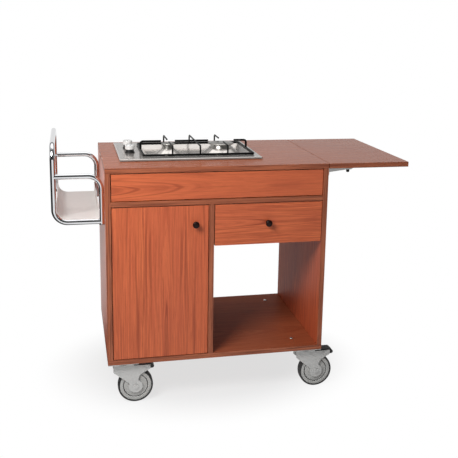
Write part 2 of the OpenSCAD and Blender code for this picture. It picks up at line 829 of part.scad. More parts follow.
// One half of the handle, from its foot at the cabinet up to the middle of the grip
module handle_half(d, past) {
    bend_x = -rack_reach + tube_bend;
    translate([0, rack_in, 0]) {
        rod([bend_x, 0, foot_z], 0, upright_x - bend_x + past, d);
        translate([bend_x, 0, foot_z]) quarter(d);
        rod([-rack_reach, 0, foot_z + tube_bend], 2, handle_z - foot_z - 2 * tube_bend, d);
        translate([-rack_reach, tube_bend, handle_z - tube_bend]) rotate([90, 0, 90]) rotate([0, 0, 90])
            rotate_extrude(angle = 90) translate([tube_bend, 0]) circle(d = d);
        rod([-rack_reach, tube_bend, handle_z], 1, cabinet_d / 2 - rack_in - tube_bend, d);
    }
}

module handle_path(d, past) {
    handle_half(d, past);
    translate([0, cabinet_d, 0]) mirror([0, 1, 0]) handle_half(d, past);
}

module rack_handle() {
    color(chrome) placed() difference() {
        handle_path(tube_d, 0);
        handle_path(tube_d - 2 * tube_wall, 0);
        for (y = rack_ys) rod([upright_x, y, foot_z - 2 * tube_r], 2, 4 * tube_r, tube_d + 2 * cope);
    }
}

// A guard: an arm from the leg that bends down along the cabinet's side to the foot tube
module guard_path(y, d, past) {
    top = arm_z - tube_bend;
    translate([0, y, 0]) {
        rod([-rack_reach, 0, arm_z], 0, rack_reach + upright_x - tube_bend, d);
        translate([upright_x - tube_bend, 0, arm_z]) mirror([1, 0, 0]) mirror([0, 0, 1]) quarter(d);
        rod([upright_x, 0, foot_z - tube_r - past], 2, top - foot_z + tube_r + past, d);
    }
}

module guard(y) {
    difference() {
        guard_path(y, tube_d, 0);
        guard_path(y, tube_d - 2 * tube_wall, 1);
        rod([-rack_reach, y, arm_z - 2 * tube_r], 2, 4 * tube_r, tube_d + 2 * cope);
        for (z = rack_bolt_zs) rod([upright_x, y, z], 0, tube_d, rack_bolt_d);
    }
}

module rack_front_guard() {
    color(chrome) placed() guard(rack_ys[0]);
}

module rack_rear_guard() {
    color(chrome) placed() guard(rack_ys[1]);
}

// The tray's section: an edge beside the cabinet, the floor, a bend and a wall beside the legs
function tray_line(off, n = 8) = let (
        right = upright_x - tube_r - off, floor_z = foot_z + tube_r + off,
        left = -rack_reach + tube_r + off, r = tube_bend - tube_r - off)
    concat([[right, foot_z + tube_r + tray_edge], [right, floor_z]],
    [for (i = [0 : n]) let (a = 270 - 90 * i / n) [left + r + r * cos(a), floor_z + r + r * sin(a)]],
    [[left, foot_z + tube_r + tray_wall]]);

module rack_tray() {
    outer = tray_line(0);
    inner = tray_line(tray_t);
    back = [for (i = [len(inner) - 1 : -1 : 0]) inner[i]];
    color([0.82, 0.8, 0.79]) placed() translate([0, rack_ys[1], 0]) rotate([90, 0, 0])
        linear_extrude(rack_ys[1] - rack_ys[0]) polygon(concat(outer, back));
}

module rack_plugs() {
    color(dark) placed() for (y = rack_ys) {
        rod([upright_x, y, foot_z - tube_r], 2, 10, tube_d - 2 * tube_wall);
        rod([upright_x, y, foot_z - tube_r - 2], 2, 2, tube_d);
    }
}

module rack_bolts() {
    color(steel) placed() for (y = rack_ys, z = rack_bolt_zs) {
        rod([upright_x, y, z], 0, board_t - upright_x, rack_bolt_d);
        rod([board_t, y, z], 0, 3, rack_bolt_d * 2.2);
    }
}

// Castors: each is [x, y] of its swivel axis and its side, 1 at the right and -1 at the left

inset_x = plate_l / 2 + 1;
inset_y = plate_w / 2 + 1;
front_left = [inset_x, inset_y];
front_right = [cabinet_w - inset_x, inset_y];
rear_left = [inset_x, cabinet_d - inset_y];
rear_right = [cabinet_w - inset_x, cabinet_d - inset_y];
castors = [front_left, front_right, rear_left, rear_right];
screw_d = 5;
screw_len = 14;

// The plate's hole nearest the middle of the cabinet takes a bolt through the board
function through_hole(c) = [c[0] + (c[0] < cabinet_w / 2 ? 1 : -1) * hole_l / 2,
    c[1] + (c[1] < cabinet_d / 2 ? 1 : -1) * hole_w / 2];
function screw_holes(c) = [for (sx = [-1, 1], sy = [-1, 1])
    let (p = [c[0] + sx * hole_l / 2, c[1] + sy * hole_w / 2]) if (p != through_hole(c)) p];

race_d = 62;
race_z = under_z - plate_t - 8.5;
fork_top = race_z - 0.5;
fork_t = 3;
axle_z = wheel_d / 2;
fork_in = tyre_w + 5;
fork_out = fork_in + 2 * fork_t;
hub_w = tyre_w + 3;
lobe_r = 24;
fork_back = 34; // reach of the fork's cheeks behind the swivel's axis
fork_front = trail + 52; // reach of the cheeks towards the pedal
fork_step = 6; // how far the cheeks' front lies below the fork's top
fork_web = 34; // reach of the fork's top plate in front of the swivel's axis
arch_r = 27; // radius of the arch in the cheeks' front edge

module castor_plates() {
    color(steel) placed() for (c = castors) translate([c[0], c[1], 0]) difference() {
        union() {
            slab([-plate_l / 2, -plate_w / 2, under_z - plate_t], [plate_l / 2, plate_w / 2, under_z]);
            translate([0, 0, race_z]) cylinder(d1 = race_d - 8, d2 = race_d, h = under_z - plate_t - race_z);
        }
        translate([0, 0, race_z - eps]) cylinder(d = king_d + 2 * run_fit, h = castor_h);
        translate([0, 0, under_z - 2.5]) cylinder(d = king_d + 7, h = castor_h);
        for (sx = [-1, 1], sy = [-1, 1]) {
            at_x = sx * hole_l / 2;
            at_y = sy * hole_w / 2;
            through = [c[0] + at_x, c[1] + at_y] == through_hole(c);
            rod([at_x, at_y, under_z - plate_t - eps], 2, plate_t + 2 * eps, through ? castor_bolt_d : screw_d);
        }
    }
}

module castor_bolts() {
    d = castor_bolt_d;
    color(steel) placed() for (c = castors) {
        t = through_hole(c);
        rod([t[0], t[1], under_z - plate_t - d * 0.7], 2, plate_t + d * 0.7 + board_t, d);
        rod([t[0], t[1], bay_z], 2, d * 0.4, d * 1.7);
        translate([t[0], t[1], under_z - plate_t - d * 0.6]) difference() {
            cylinder(d = d * 1.85, h = d * 0.6, $fn = 6);
            translate([0, 0, -eps]) cylinder(d = d, h = d);
        }
        for (p = screw_holes(c)) {
            rod([p[0], p[1], under_z - plate_t], 2, plate_t + screw_len, screw_d);
            rod([p[0], p[1], under_z - plate_t - 2.5], 2, 2.5, screw_d * 2);
        }
    }
}

// A solid with the fork's side outline, wide across: a straight back, a round lobe and an arched front
module fork_blank(wide) {
    drop = fork_top - axle_z;
    arch_x = trail + lobe_r + 13;
    arch_z = axle_z + arch_r - 2;
    translate([0, wide / 2, 0]) rotate([90, 0, 0]) difference() {
        linear_extrude(wide) polygon([
            [-fork_back, fork_top], [fork_web, fork_top], [fork_web + fork_step, fork_top - fork_step],
            [fork_front, fork_top - fork_step], [fork_front, fork_top - drop * 0.26],
            [arch_x - 16, arch_z + 22], [arch_x, arch_z], [trail + lobe_r * 0.9, axle_z],
            [trail, axle_z], [trail - lobe_r * 0.9, axle_z + lobe_r * 0.44],
            [-fork_back, fork_top - drop * 0.32]]);
        translate([arch_x, arch_z, -eps]) cylinder(r = arch_r, h = wide + 2 * eps);
    }
    rod([trail, -wide / 2, axle_z], 1, wide, lobe_r * 2);
}

module fork(c) {
    translate([c[0], c[1], 0]) {
        difference() {
            union() {
                fork_blank(fork_out);
                translate([0, 0, fork_top - fork_t]) cylinder(d = king_d, h = under_z - 1 - fork_top + fork_t);
                translate([0, 0, under_z - 2.2]) cylinder(d = king_d + 6, h = 1.6);
            }
            translate([-fork_back - eps, -fork_in / 2, 0])
                cube([fork_back + fork_front + 2 * eps, fork_in, fork_top - fork_t]);
            translate([fork_web, -fork_in / 2, 0]) cube([fork_front, fork_in, fork_top + eps]);
            rod([trail, -fork_out, axle_z], 1, 2 * fork_out, axle_d);
        }
        if (c[1] < cabinet_d / 2) rod([brake_x, -fork_out / 2 - 1.5, brake_z], 1, fork_out + 3, brake_pin_d);
        rod([trail, -fork_out / 2, axle_z], 1, fork_out, axle_d);
        for (s = [-1, 1]) translate([trail, s * (fork_out / 2 + 2), axle_z])
            rod([0, -2, 0], 1, 4, axle_d * 1.7);
    }
}

module fork_front_left() {
    color(grey_plastic) placed() fork(front_left);
}

module fork_front_right() {
    color(grey_plastic) placed() fork(front_right);
}

module fork_rear_left() {
    color(grey_plastic) placed() fork(rear_left);
}

module fork_rear_right() {
    color(grey_plastic) placed() fork(rear_right);
}

// The wheel's centre: a hub, a web and a rim with a groove in each face
module wheel(c) {
    r = wheel_d / 2 - tyre_t;
    half = tyre_w / 2 - 1;
    bore = axle_d / 2 + run_fit;
    groove = wheel_d * 0.345;
    right = [[bore, hub_w / 2], [axle_d, hub_w / 2], [axle_d + 3, half - 1], [groove - 1.5, half - 1],
        [groove - 0.8, half - 3], [groove + 0.8, half - 3], [groove + 1.5, half], [r, half]];
    left = [for (i = [len(right) - 1 : -1 : 0]) [right[i][0], -right[i][1]]];
    translate([c[0] + trail, c[1], axle_z]) rotate([90, 0, 0]) rotate_extrude($fn = 64)
        polygon(concat(right, left));
}

module tyre(c) {
    r = wheel_d / 2;
    half = tyre_w / 2;
    translate([c[0] + trail, c[1], axle_z]) rotate([90, 0, 0]) rotate_extrude($fn = 64) polygon([
        [r - tyre_t, -half + 1], [r - 2.5, -half], [r - 0.6, -half + 3], [r, -half + 7], [r, half - 7],
        [r - 0.6, half - 3], [r - 2.5, half], [r - tyre_t, half - 1]]);
}

module wheel_front_left() {
    color(grey_plastic) placed() wheel(front_left);
}

module wheel_front_right() {
    color(grey_plastic) placed() wheel(front_right);
}

module wheel_rear_left() {
    color(grey_plastic) placed() wheel(rear_left);
}

module wheel_rear_right() {
    color(grey_plastic) placed() wheel(rear_right);
}

module tyre_front_left() {
    color(dark) placed() tyre(front_left);
}

module tyre_front_right() {
    color(dark) placed() tyre(front_right);
}

module tyre_rear_left() {
    color(dark) placed() tyre(rear_left);
}

module tyre_rear_right() {
    color(dark) placed() tyre(rear_right);
}

// The brake pedal turns on a pin between the fork's cheeks; its shoe lies above the tyre
brake_x = trail + 28;
brake_z = fork_top - 13;
brake_pin_d = 5;

module brake(c) {
    wide = fork_in - 2 * clear - 1;
    translate([c[0] + brake_x, c[1], brake_z]) {
        difference() {
            union() {
                translate([0, wide / 2, 0]) rotate([90, 0, 0]) linear_extrude(wide) polygon([
                    [-34, 3], [-34, 6], [-32, 8], [-12, 12], [24, 12], [29, 10.5], [34, 5.3], [31, -8],
                    [20, -8], [13, -17], [8, -17], [-4, -6], [-12, -4]]);
                rod([31, -wide / 2, -1], 1, wide, 14);
            }
            rod([0, -wide, 0], 1, 2 * wide, brake_pin_d + 2 * run_fit);
        }
    }
}

module brake_front_left() {
    color(dark) placed() brake(front_left);
}

module brake_front_right() {
    color(dark) placed() brake(front_right);
}

left_side();
right_side();
top_panel();
bottom_panel();
hob_shelf();
divider();
fascia();
fascia_cleats();
door_bay_back();
hob_bay_back();
drawer_back_panel();
door_panel();
door_pull();
door_pivots();
pivot_bushes();
drawer_front();
drawer_box();
drawer_bottom();
drawer_pull();
drawer_runners();
cabinet_runners();
leaf_panel();
leaf_arms();
leaf_wall_plates();
leaf_pins();
leaf_buffers();
hob_plate();
hob_case();
burner_heads();
small_burner_cap();
large_burner_cap();
pan_support();
front_tap_knob();
rear_tap_knob();
front_tap_stem();
rear_tap_stem();
tap_collars();
gas_manifold();
rack_handle();
rack_front_guard();
rack_rear_guard();
rack_tray();
rack_plugs();
rack_bolts();
castor_plates();
castor_bolts();
fork_front_left();
fork_front_right();
fork_rear_left();
fork_rear_right();
wheel_front_left();
wheel_front_right();
wheel_rear_left();
wheel_rear_right();
tyre_front_left();
tyre_front_right();
tyre_rear_left();
tyre_rear_right();
brake_front_left();
brake_front_right();
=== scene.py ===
# Flambe trolley: the finish of every piece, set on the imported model.
# Metres, Z up, the front faces -Y, the origin is on the floor under the middle.
import json
import math

import bpy
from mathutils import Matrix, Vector


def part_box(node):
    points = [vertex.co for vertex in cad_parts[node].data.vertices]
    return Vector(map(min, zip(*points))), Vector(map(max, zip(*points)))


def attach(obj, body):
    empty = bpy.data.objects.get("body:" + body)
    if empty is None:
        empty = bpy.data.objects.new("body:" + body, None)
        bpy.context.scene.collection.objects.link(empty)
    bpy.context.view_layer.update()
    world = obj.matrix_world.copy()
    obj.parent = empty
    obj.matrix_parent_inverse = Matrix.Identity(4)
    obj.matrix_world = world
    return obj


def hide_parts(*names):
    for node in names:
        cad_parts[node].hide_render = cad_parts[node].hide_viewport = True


print("Loading the trolley's frame")
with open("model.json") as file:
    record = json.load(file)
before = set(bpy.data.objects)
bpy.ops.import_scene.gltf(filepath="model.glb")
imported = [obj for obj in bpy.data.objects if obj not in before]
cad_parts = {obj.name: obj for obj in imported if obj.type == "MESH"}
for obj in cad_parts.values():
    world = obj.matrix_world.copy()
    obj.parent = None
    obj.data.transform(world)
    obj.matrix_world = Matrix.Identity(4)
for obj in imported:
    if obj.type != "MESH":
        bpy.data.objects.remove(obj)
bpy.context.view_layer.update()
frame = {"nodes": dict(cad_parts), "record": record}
nodes = frame["nodes"]
mm = 0.001
bodyOf = {node: body for body, members in frame["record"]["behaviour"]["bodies"].items() for node in members}
slotOf = {part["node"]: part["material_slot"] for part in frame["record"]["subparts"]}

# The cabinet's front left corner in metres, and its size and top in millimetres
cabinet = {"corner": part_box("left_side")[0], "width": 780, "depth": 550, "top": 860}


# Shader tools


class Value:
    # A node's output; arithmetic on it adds Math nodes
    def __init__(self, paint, socket):
        self.paint = paint
        self.socket = socket

    def math(self, operation, left, right=0.0):
        return self.paint.add("ShaderNodeMath", {0: left, 1: right}, {"operation": operation})

    def __add__(self, other):
        return self.math("ADD", self, other)

    def __radd__(self, other):
        return self.math("ADD", other, self)

    def __sub__(self, other):
        return self.math("SUBTRACT", self, other)

    def __rsub__(self, other):
        return self.math("SUBTRACT", other, self)

    def __mul__(self, other):
        return self.math("MULTIPLY", self, other)

    def __truediv__(self, other):
        return self.math("DIVIDE", self, other)

    def __pow__(self, other):
        return self.math("POWER", self, other)

    def __or__(self, other):
        return self.math("MAXIMUM", self, other)

    def size(self):
        return self.math("ABSOLUTE", self)

    def notOver(self, limit, bend):
        return self.paint.add("ShaderNodeMath", {0: self, 1: limit, 2: bend}, {"operation": "SMOOTH_MIN"})


class Paint:
    # One material or world under construction
    def __init__(self, name, kind="materials"):
        self.owner = getattr(bpy.data, kind).new(name)
        self.owner.use_nodes = True
        self.tree = self.owner.node_tree
        self.tree.nodes.clear()
        self.place = self.add("ShaderNodeTexCoord", output="Object" if kind == "materials" else "Generated")
        self.parts = self.add("ShaderNodeSeparateXYZ", {"Vector": self.place}).socket.node.outputs

    def add(self, kind, values=None, settings=None, output=0):
        node = self.tree.nodes.new(kind)
        for key, setting in (settings or {}).items():
            setattr(node, key, setting)
        for key, value in (values or {}).items():
            if isinstance(value, Value):
                self.tree.links.new(value.socket, node.inputs[key])
            else:
                node.inputs[key].default_value = value
        return Value(self, node.outputs[output])

    def axis(self, letter):
        return Value(self, self.parts["xyz".index(letter)])

    def noise(self, size, detail=2.0, scale=(1, 1, 1), roughness=0.5, place=None):
        stretched = self.add("ShaderNodeMapping", {"Vector": place or self.place, "Scale": scale})
        return self.add("ShaderNodeTexNoise", {
            "Vector": stretched, "Scale": 1 / size, "Detail": detail, "Roughness": roughness,
        })

    def ramp(self, factor, low, high, start=0.0, end=1.0):
        # A soft step from start to end while the factor goes from low to high
        return self.add("ShaderNodeMapRange", {
            "Value": factor, "From Min": low, "From Max": high, "To Min": start, "To Max": end,
        }, {"interpolation_type": "SMOOTHSTEP"})

    def mix(self, factor, first, second):
        return self.add("ShaderNodeMix", {0: factor, 6: first, 7: second}, {"data_type": "RGBA"}, 2)

    def bump(self, height, depth, strength):
        return self.add("ShaderNodeBump", {"Height": height, "Distance": depth, "Strength": strength})

    def seen(self):
        # Which rays come from the eye or through glass, and which from a reflection
        path = self.add("ShaderNodeLightPath").socket.node.outputs
        return (Value(self, path["Is Camera Ray"]) | Value(self, path["Is Transmission Ray"]),
                Value(self, path["Is Glossy Ray"]))

    def finish(self, colour, **sockets):
        names = {"roughness": "Roughness", "metallic": "Metallic", "specular": "Specular IOR Level",
                 "normal": "Normal"}
        values = {names[key]: value for key, value in sockets.items()}
        return self.output(self.add("ShaderNodeBsdfPrincipled", {"Base Color": colour, **values}))

    def output(self, shader, kind="ShaderNodeOutputMaterial"):
        node = self.tree.nodes.new(kind)
        self.tree.links.new(shader.socket, node.inputs["Surface"])
        return self.owner


def tone(red, green, blue):
    # A screen colour from 0 to 255 as Blender's linear colour
    parts = [part / 255 for part in (red, green, blue)]
    linear = [part / 12.92 if part <= 0.04045 else ((part + 0.055) / 1.055) ** 2.4 for part in parts]
    return (*linear, 1.0)


def darker(colour, share):
    return (*[part * share for part in colour[:3]], 1.0)


white = (1, 1, 1, 1)


# Camera, floor and light

cameraPlace = {
    "location": (-0.5611, -2.7591, 1.3471),
    "turn": (77.995, -1.136, -12.867),
    "lens": 59.74,
    "shift": (-0.0328, -0.1026),
}


def addCamera():
    bpy.ops.object.camera_add(location=cameraPlace["location"],
                              rotation=[math.radians(angle) for angle in cameraPlace["turn"]])
    camera = bpy.context.object
    camera.data.lens = cameraPlace["lens"]
    camera.data.shift_x, camera.data.shift_y = cameraPlace["shift"]
    bpy.context.scene.camera = camera
    print("Camera stands at", cameraPlace["location"])


# Places and lengths in metres; a span is the low and high end of a soft step
studio = {
    "floorReach": 14.0,
    "floorSides": 96,
    "floorMiddle": (-0.06, 0.05),
    "floorTones": (tone(212, 212, 213), tone(218, 218, 218)),
    "floorGrain": 0.004,
    "fadeStart": 0.34,
    "fadeEnd": 0.68,
    "fadeAlong": 1.30,
    "shadowLift": 0.70,
    "sheetSpread": (0.45, 0.90),
    "sheetDepth": 0.25,
    "sheetLight": 0.92,
    "key": {"place": (-1.15, -1.35, 1.85), "size": (0.8, 0.8), "power": 35.5},
    "fill": {"place": (2.6, -2.8, 1.6), "size": (2.4, 2.0), "power": 2.0},
    "top": {"place": (-0.3, 0.5, 3.2), "size": (2.6, 2.6), "power": 18.0},
    "lampAim": (0, 0, 0.5),
    "worldStrength": 0.22,
    "darkSide": 0.03,
    "behindSpan": (-0.25, 0.25),
    "wallSpan": (0.186, 0.216),
    "wallFoot": 0.82,
    "wallBehind": 0.22,
    "ceilingRise": (0.48, 0.72, 0.0, 0.9),
    "ceilingReach": (-0.15, 0.20, 0.15, 1.0),
}


def floorPaint():
    # Pale near the trolley, where it takes a light shadow, and pure white farther out; polished metal
    # mirrors it as a white sheet that opens to the front and back, with the dark room at both sides
    paint = Paint("floorPale")
    across, along = paint.axis("x") - studio["floorMiddle"][0], paint.axis("y") - studio["floorMiddle"][1]
    stretched = along * studio["fadeAlong"]
    distance = (across * across + stretched * stretched) ** 0.5
    colour = paint.mix(paint.noise(studio["floorGrain"], 3.0), *studio["floorTones"])
    ground = paint.add("ShaderNodeBsdfDiffuse", {"Color": colour})
    glow = paint.add("ShaderNodeEmission", {"Color": white, "Strength": 1.0})
    fade = paint.ramp(distance, studio["fadeStart"], studio["fadeEnd"], studio["shadowLift"], 1.0)
    direct, mirrored = paint.seen()
    shown = paint.add("ShaderNodeMixShader", {0: fade * direct, 1: ground, 2: glow})
    spread = across.size() / (along.size() + studio["sheetDepth"])
    sheet = paint.ramp(spread, *studio["sheetSpread"], studio["sheetLight"], studio["darkSide"])
    room = paint.add("ShaderNodeEmission", {"Color": white, "Strength": sheet})
    return paint.output(paint.add("ShaderNodeMixShader", {0: mirrored * (1 - direct), 1: shown, 2: room}))


def addFloor():
    bpy.ops.object.select_all(action="DESELECT")
    bpy.ops.mesh.primitive_circle_add(vertices=studio["floorSides"], radius=studio["floorReach"],
                                      fill_type="NGON")
    floor = bpy.context.object
    floor.name = "studioFloor"
    floor.data.materials.append(floorPaint())


def addLamp(name):
    lampSet = studio[name]
    place = Vector(lampSet["place"])
    bpy.ops.object.light_add(type="AREA", location=place)
    lamp = bpy.context.object
    lamp.name = name + "Lamp"
    lamp.rotation_euler = (Vector(studio["lampAim"]) - place).to_track_quat("-Z", "Y").to_euler()
    lamp.data.shape = "RECTANGLE"
    lamp.data.size, lamp.data.size_y = lampSet["size"]
    lamp.data.energy = lampSet["power"]


def addWorld():
    # White to the eye; reflections find a bright ceiling, a grey wall behind and the dark room in front
    paint = Paint("studioWorld", "worlds")
    direct, mirrored = paint.seen()
    behind = paint.ramp(paint.axis("y"), *studio["behindSpan"])
    wall = paint.ramp(paint.axis("z"), *studio["wallSpan"], studio["wallFoot"], studio["wallBehind"])
    ceiling = paint.ramp(paint.axis("z"), *studio["ceilingRise"])
    ceiling = ceiling * paint.ramp(paint.axis("y"), *studio["ceilingReach"])
    room = (behind * wall + (1 - behind) * studio["darkSide"]) | ceiling
    strength = direct + (1 - direct) * (mirrored * room + (1 - mirrored) * studio["worldStrength"])
    sky = paint.add("ShaderNodeBackground", {"Color": white, "Strength": strength})
    bpy.context.scene.world = paint.output(sky, "ShaderNodeOutputWorld")
    bpy.context.scene.view_settings.view_transform = "Standard"


# Finishes

# The veneer's marks: size in metres, detail and roughness of the noise, how little it changes along the grain,
# the span of it that shows, and its share in the colour, the roughness and the relief
veneer = {
    "wander": {"size": 0.11, "detail": 2.0, "along": 0.3},
    "ripple": {"size": 0.022, "detail": 2.0, "along": 0.1, "depth": 0.0035},
    "streaks": {"size": 0.0042, "detail": 4.0, "roughness": 0.6, "span": (0.36, 0.62), "plain": 0.6,
                "rough": 0.08, "relief": 0.4},
    "bands": {"size": 0.045, "detail": 1.0, "span": (0.30, 0.70), "share": 0.55},
    "late": {"span": (0.60, 0.74), "share": 0.7, "relief": 0.2},
    "tip": {"span": (0.0003, 0.0014)},
    "fibre": {"size": 0.0030, "detail": 3.0, "roughness": 0.65, "along": 0.015, "span": (0.42, 0.76),
              "share": 0.30, "relief": 0.4},
    "pores": {"size": 0.0013, "detail": 1.0, "along": 0.03, "span": (0.60, 0.70), "share": 0.26,
              "rough": 0.10, "relief": 0.6},
    "broad": {"size": 0.16, "detail": 1.0, "along": 0.3, "span": (0.35, 0.70), "share": 0.35},
    "bend": 0.10,
    "flow": 0.02,
    "depth": 0.00010,
    "strength": 0.35,
}


def woodNoise(paint, kind, grain=None, place=None):
    # One kind of mark, drawn out along the grain or following a place of its own
    mark = veneer[kind]
    scale = tuple(mark["along"] if letter == grain else 1.0 for letter in "xyz")
    return paint.noise(mark["size"], mark["detail"], scale, mark.get("roughness", 0.5), place)


def growth(paint, look, low):
    # The distance from the look's heart in long nested arches, and a noise place that follows them
    grain, across = look["grain"], look["across"]
    heartAlong = low["xyz".index(grain)] + look["heart"][0] * mm
    heartAcross = low["xyz".index(across)] + look["heart"][1] * mm
    wander = (woodNoise(paint, "wander", grain) - 0.5) * look["wander"] * mm
    ripple = (woodNoise(paint, "ripple", grain) - 0.5) * veneer["ripple"]["depth"]
    sideways = paint.axis(across) - heartAcross + wander
    lengthways = (paint.axis(grain) - heartAlong).notOver(look["straight"] * mm, veneer["bend"]) * look["taper"]
    ring = (sideways * sideways + lengthways * lengthways) ** 0.5 + ripple
    along = paint.axis(grain) * veneer["flow"]
    return ring, paint.add("ShaderNodeCombineXYZ", {"X": ring, "Y": along, "Z": look["seed"]})


def woodPaint(name, look, low=(0, 0, 0)):
    # Flat-sawn veneer from streaks, growth lines, fibre and pores
    paint = Paint(name)
    ring, flow = growth(paint, look, low)

    def shown(noise, kind):
        return paint.ramp(noise, *veneer[kind]["span"])

    streaks = woodNoise(paint, "streaks", place=flow)
    bands = woodNoise(paint, "bands", place=flow)
    late = shown(paint.noise(look["spacing"] * mm, 0.0, place=flow), "late") * veneer["late"]["share"]
    for tip in look["tips"]:
        radius = (tip - look["heart"][0]) * look["taper"] * mm
        late = late | paint.ramp((ring - radius).size(), *veneer["tip"]["span"], 1.0, 0.0)
    fibre = woodNoise(paint, "fibre", look["grain"])
    pores = shown(woodNoise(paint, "pores", look["grain"]), "pores")
    broad = woodNoise(paint, "broad", look["grain"])
    shade = shown(streaks, "streaks") * look["streak"] + (1 - look["streak"]) * veneer["streaks"]["plain"]
    colour = paint.mix(shade, look["dark"], look["light"])
    for factor, tint in ((shown(bands, "bands") * veneer["bands"]["share"], "middle"),
                         (shown(broad, "broad") * veneer["broad"]["share"], "warm"),
                         (late * look["figure"], "line"),
                         (shown(fibre, "fibre") * veneer["fibre"]["share"], "line"),
                         (pores * veneer["pores"]["share"], "line")):
        colour = paint.mix(factor, colour, look[tint])
    rough = look["roughness"] + streaks * veneer["streaks"]["rough"] + pores * veneer["pores"]["rough"]
    relief = (streaks * veneer["streaks"]["relief"] + fibre * veneer["fibre"]["relief"]
              - pores * veneer["pores"]["relief"] - late * veneer["late"]["relief"])
    return paint.finish(colour, roughness=rough, specular=look["gloss"],
                        normal=paint.bump(relief, veneer["depth"], veneer["strength"]))


# Millimetres: heart is the arches' centre along and across the grain from the board's low corner, tips are the
# ends of its clear arches along the grain, straight is where the lines stop widening, and wander and spacing
# are the lines' sway and distance
cherry = {
    "light": tone(222, 117, 72),
    "middle": tone(207, 102, 64),
    "warm": tone(202, 100, 68),
    "dark": tone(182, 86, 52),
    "line": tone(122, 44, 27),
    "spacing": 7.0,
    "taper": 0.07,
    "straight": 1500,
    "streak": 1.0,
    "wander": 16.0,
    "figure": 0.36,
    "heart": (-200, 150),
    "tips": (),
    "seed": 0.0,
    "roughness": 0.36,
    "gloss": 0.36,
}
cherryUp = {**cherry, "grain": "z", "across": "x"}
cherryAlong = {**cherry, "grain": "x", "across": "z"}
cherryFlat = {**cherry, "grain": "x", "across": "y", "gloss": 0.30, "roughness": 0.20, "figure": 0.30,
              "light": tone(186, 103, 62), "middle": tone(176, 92, 55), "warm": tone(174, 96, 59),
              "dark": tone(158, 80, 46)}
# The bay's floor board: a darker copy of the flat cherry, with painted shade for the floor inside the bay
cherryShadedFloor = {**cherryFlat, "gloss": 0.12, "roughness": 0.46, "light": tone(168, 92, 58),
               "middle": tone(158, 82, 50), "warm": tone(158, 84, 54), "dark": tone(146, 74, 44)}
cherrySide = {**cherry, "grain": "z", "across": "y", "gloss": 0.62, "roughness": 0.30, "figure": 0.30}
# The right side and the divider: a darker copy of the side's cherry, with painted shade for the faces inside the
# bay
cherryShadedInside = {**cherrySide, "gloss": 0.15, "roughness": 0.46, "light": tone(206, 104, 64),
                "middle": tone(190, 90, 56), "warm": tone(186, 90, 60), "dark": tone(162, 74, 44)}
cherryEdge = {**cherry, "light": tone(186, 108, 74), "middle": tone(162, 88, 58), "warm": tone(158, 88, 60),
              "dark": tone(122, 62, 40), "line": tone(74, 32, 20), "figure": 0.40, "heart": (-900, -300),
              "taper": 0.02, "wander": 6.0, "spacing": 5.0}
birch = {**cherry, "grain": "y", "across": "z", "light": tone(216, 198, 168), "middle": tone(207, 187, 156),
         "warm": tone(205, 186, 158), "dark": tone(198, 176, 144), "line": tone(160, 132, 98), "figure": 0.12,
         "roughness": 0.5}

boards = {
    "left_side": {"face": "x", "look": {**cherrySide, "heart": (-150, 240), "seed": 1.0}},
    "right_side": {"face": "x", "look": {**cherryShadedInside, "heart": (900, 300), "seed": 2.0}},
    "divider": {"face": "x", "look": {**cherryShadedInside, "heart": (-300, 180), "seed": 3.0}},
    "top_panel": {"face": "z", "look": {**cherryFlat, "heart": (-260, 330), "seed": 4.0}},
    "leaf_panel": {"face": "z", "look": {**cherryFlat, "heart": (700, 200), "seed": 5.0}},
    "bottom_panel": {"face": "z", "look": {**cherryShadedFloor, "heart": (-300, 160), "seed": 6.0}},
    "hob_shelf": {"face": "z", "look": {**cherryFlat, "heart": (-350, 300), "seed": 7.0}},
    "fascia": {"face": "y", "look": {**cherryAlong, "heart": (-210, 40), "taper": 0.075, "wander": 26.0,
                                     "straight": 560, "tips": (88, 232), "streak": 0.45, "figure": 0.40,
                                     "seed": 8.0}},
    "fascia_cleats": {"face": "y", "look": {**cherryAlong, "seed": 8.5}},
    "door_panel": {"face": "y", "look": {**cherryUp, "heart": (-160, 183), "taper": 0.024, "wander": 12.0,
                                         "tips": (176,), "spacing": 6.5, "figure": 0.56, "seed": 9.0}},
    "drawer_front": {"face": "y", "look": {**cherryAlong, "heart": (-120, 80), "taper": 0.055, "wander": 22.0,
                                           "straight": 380, "tips": (199,), "figure": 0.48, "seed": 10.0}},
    "door_bay_back": {"face": "y", "look": {**cherryUp, "heart": (-200, 150), "seed": 11.0}},
    "hob_bay_back": {"face": "y", "look": {**cherryAlong, "heart": (-200, 60), "seed": 12.0}},
    "drawer_back_panel": {"face": "y", "look": {**cherryAlong, "heart": (-200, 70), "seed": 13.0}},
}


# Sizes in metres of the marks, cloud, haze and peel, how dark they go, and how much they roughen and stand out
metal = {
    "marks": 0.0011,
    "along": 0.02,
    "cloud": 0.05,
    "shade": 0.88,
    "marksTint": 0.6,
    "cloudTint": 0.4,
    "marksRough": 0.08,
    "cloudRough": 0.05,
    "depth": 0.00003,
    "strength": 0.3,
}
chrome = {
    "haze": 0.03,
    "span": (0.5, 0.8),
    "tones": (tone(232, 233, 235), tone(222, 223, 225)),
    "roughness": 0.03,
    "hazeRough": 0.05,
}
plastic = {"cloud": 0.03, "shade": 0.90, "peelRough": 0.12, "strength": 0.4}


def metalPaint(name, colour, roughness, brushed=None, metallic=1.0):
    # Brushed or plain metal; brushed names the axis that the brush ran along
    paint = Paint(name)
    scale = tuple(metal["along"] if letter == brushed else 1.0 for letter in "xyz")
    marks = paint.noise(metal["marks"], 3.0, scale, 0.6)
    cloud = paint.noise(metal["cloud"], 3.0)
    lightness = marks * metal["marksTint"] + cloud * metal["cloudTint"]
    rough = roughness + marks * metal["marksRough"] + cloud * metal["cloudRough"]
    return paint.finish(paint.mix(lightness, darker(colour, metal["shade"]), colour), metallic=metallic,
                        roughness=rough, normal=paint.bump(marks, metal["depth"], metal["strength"]))


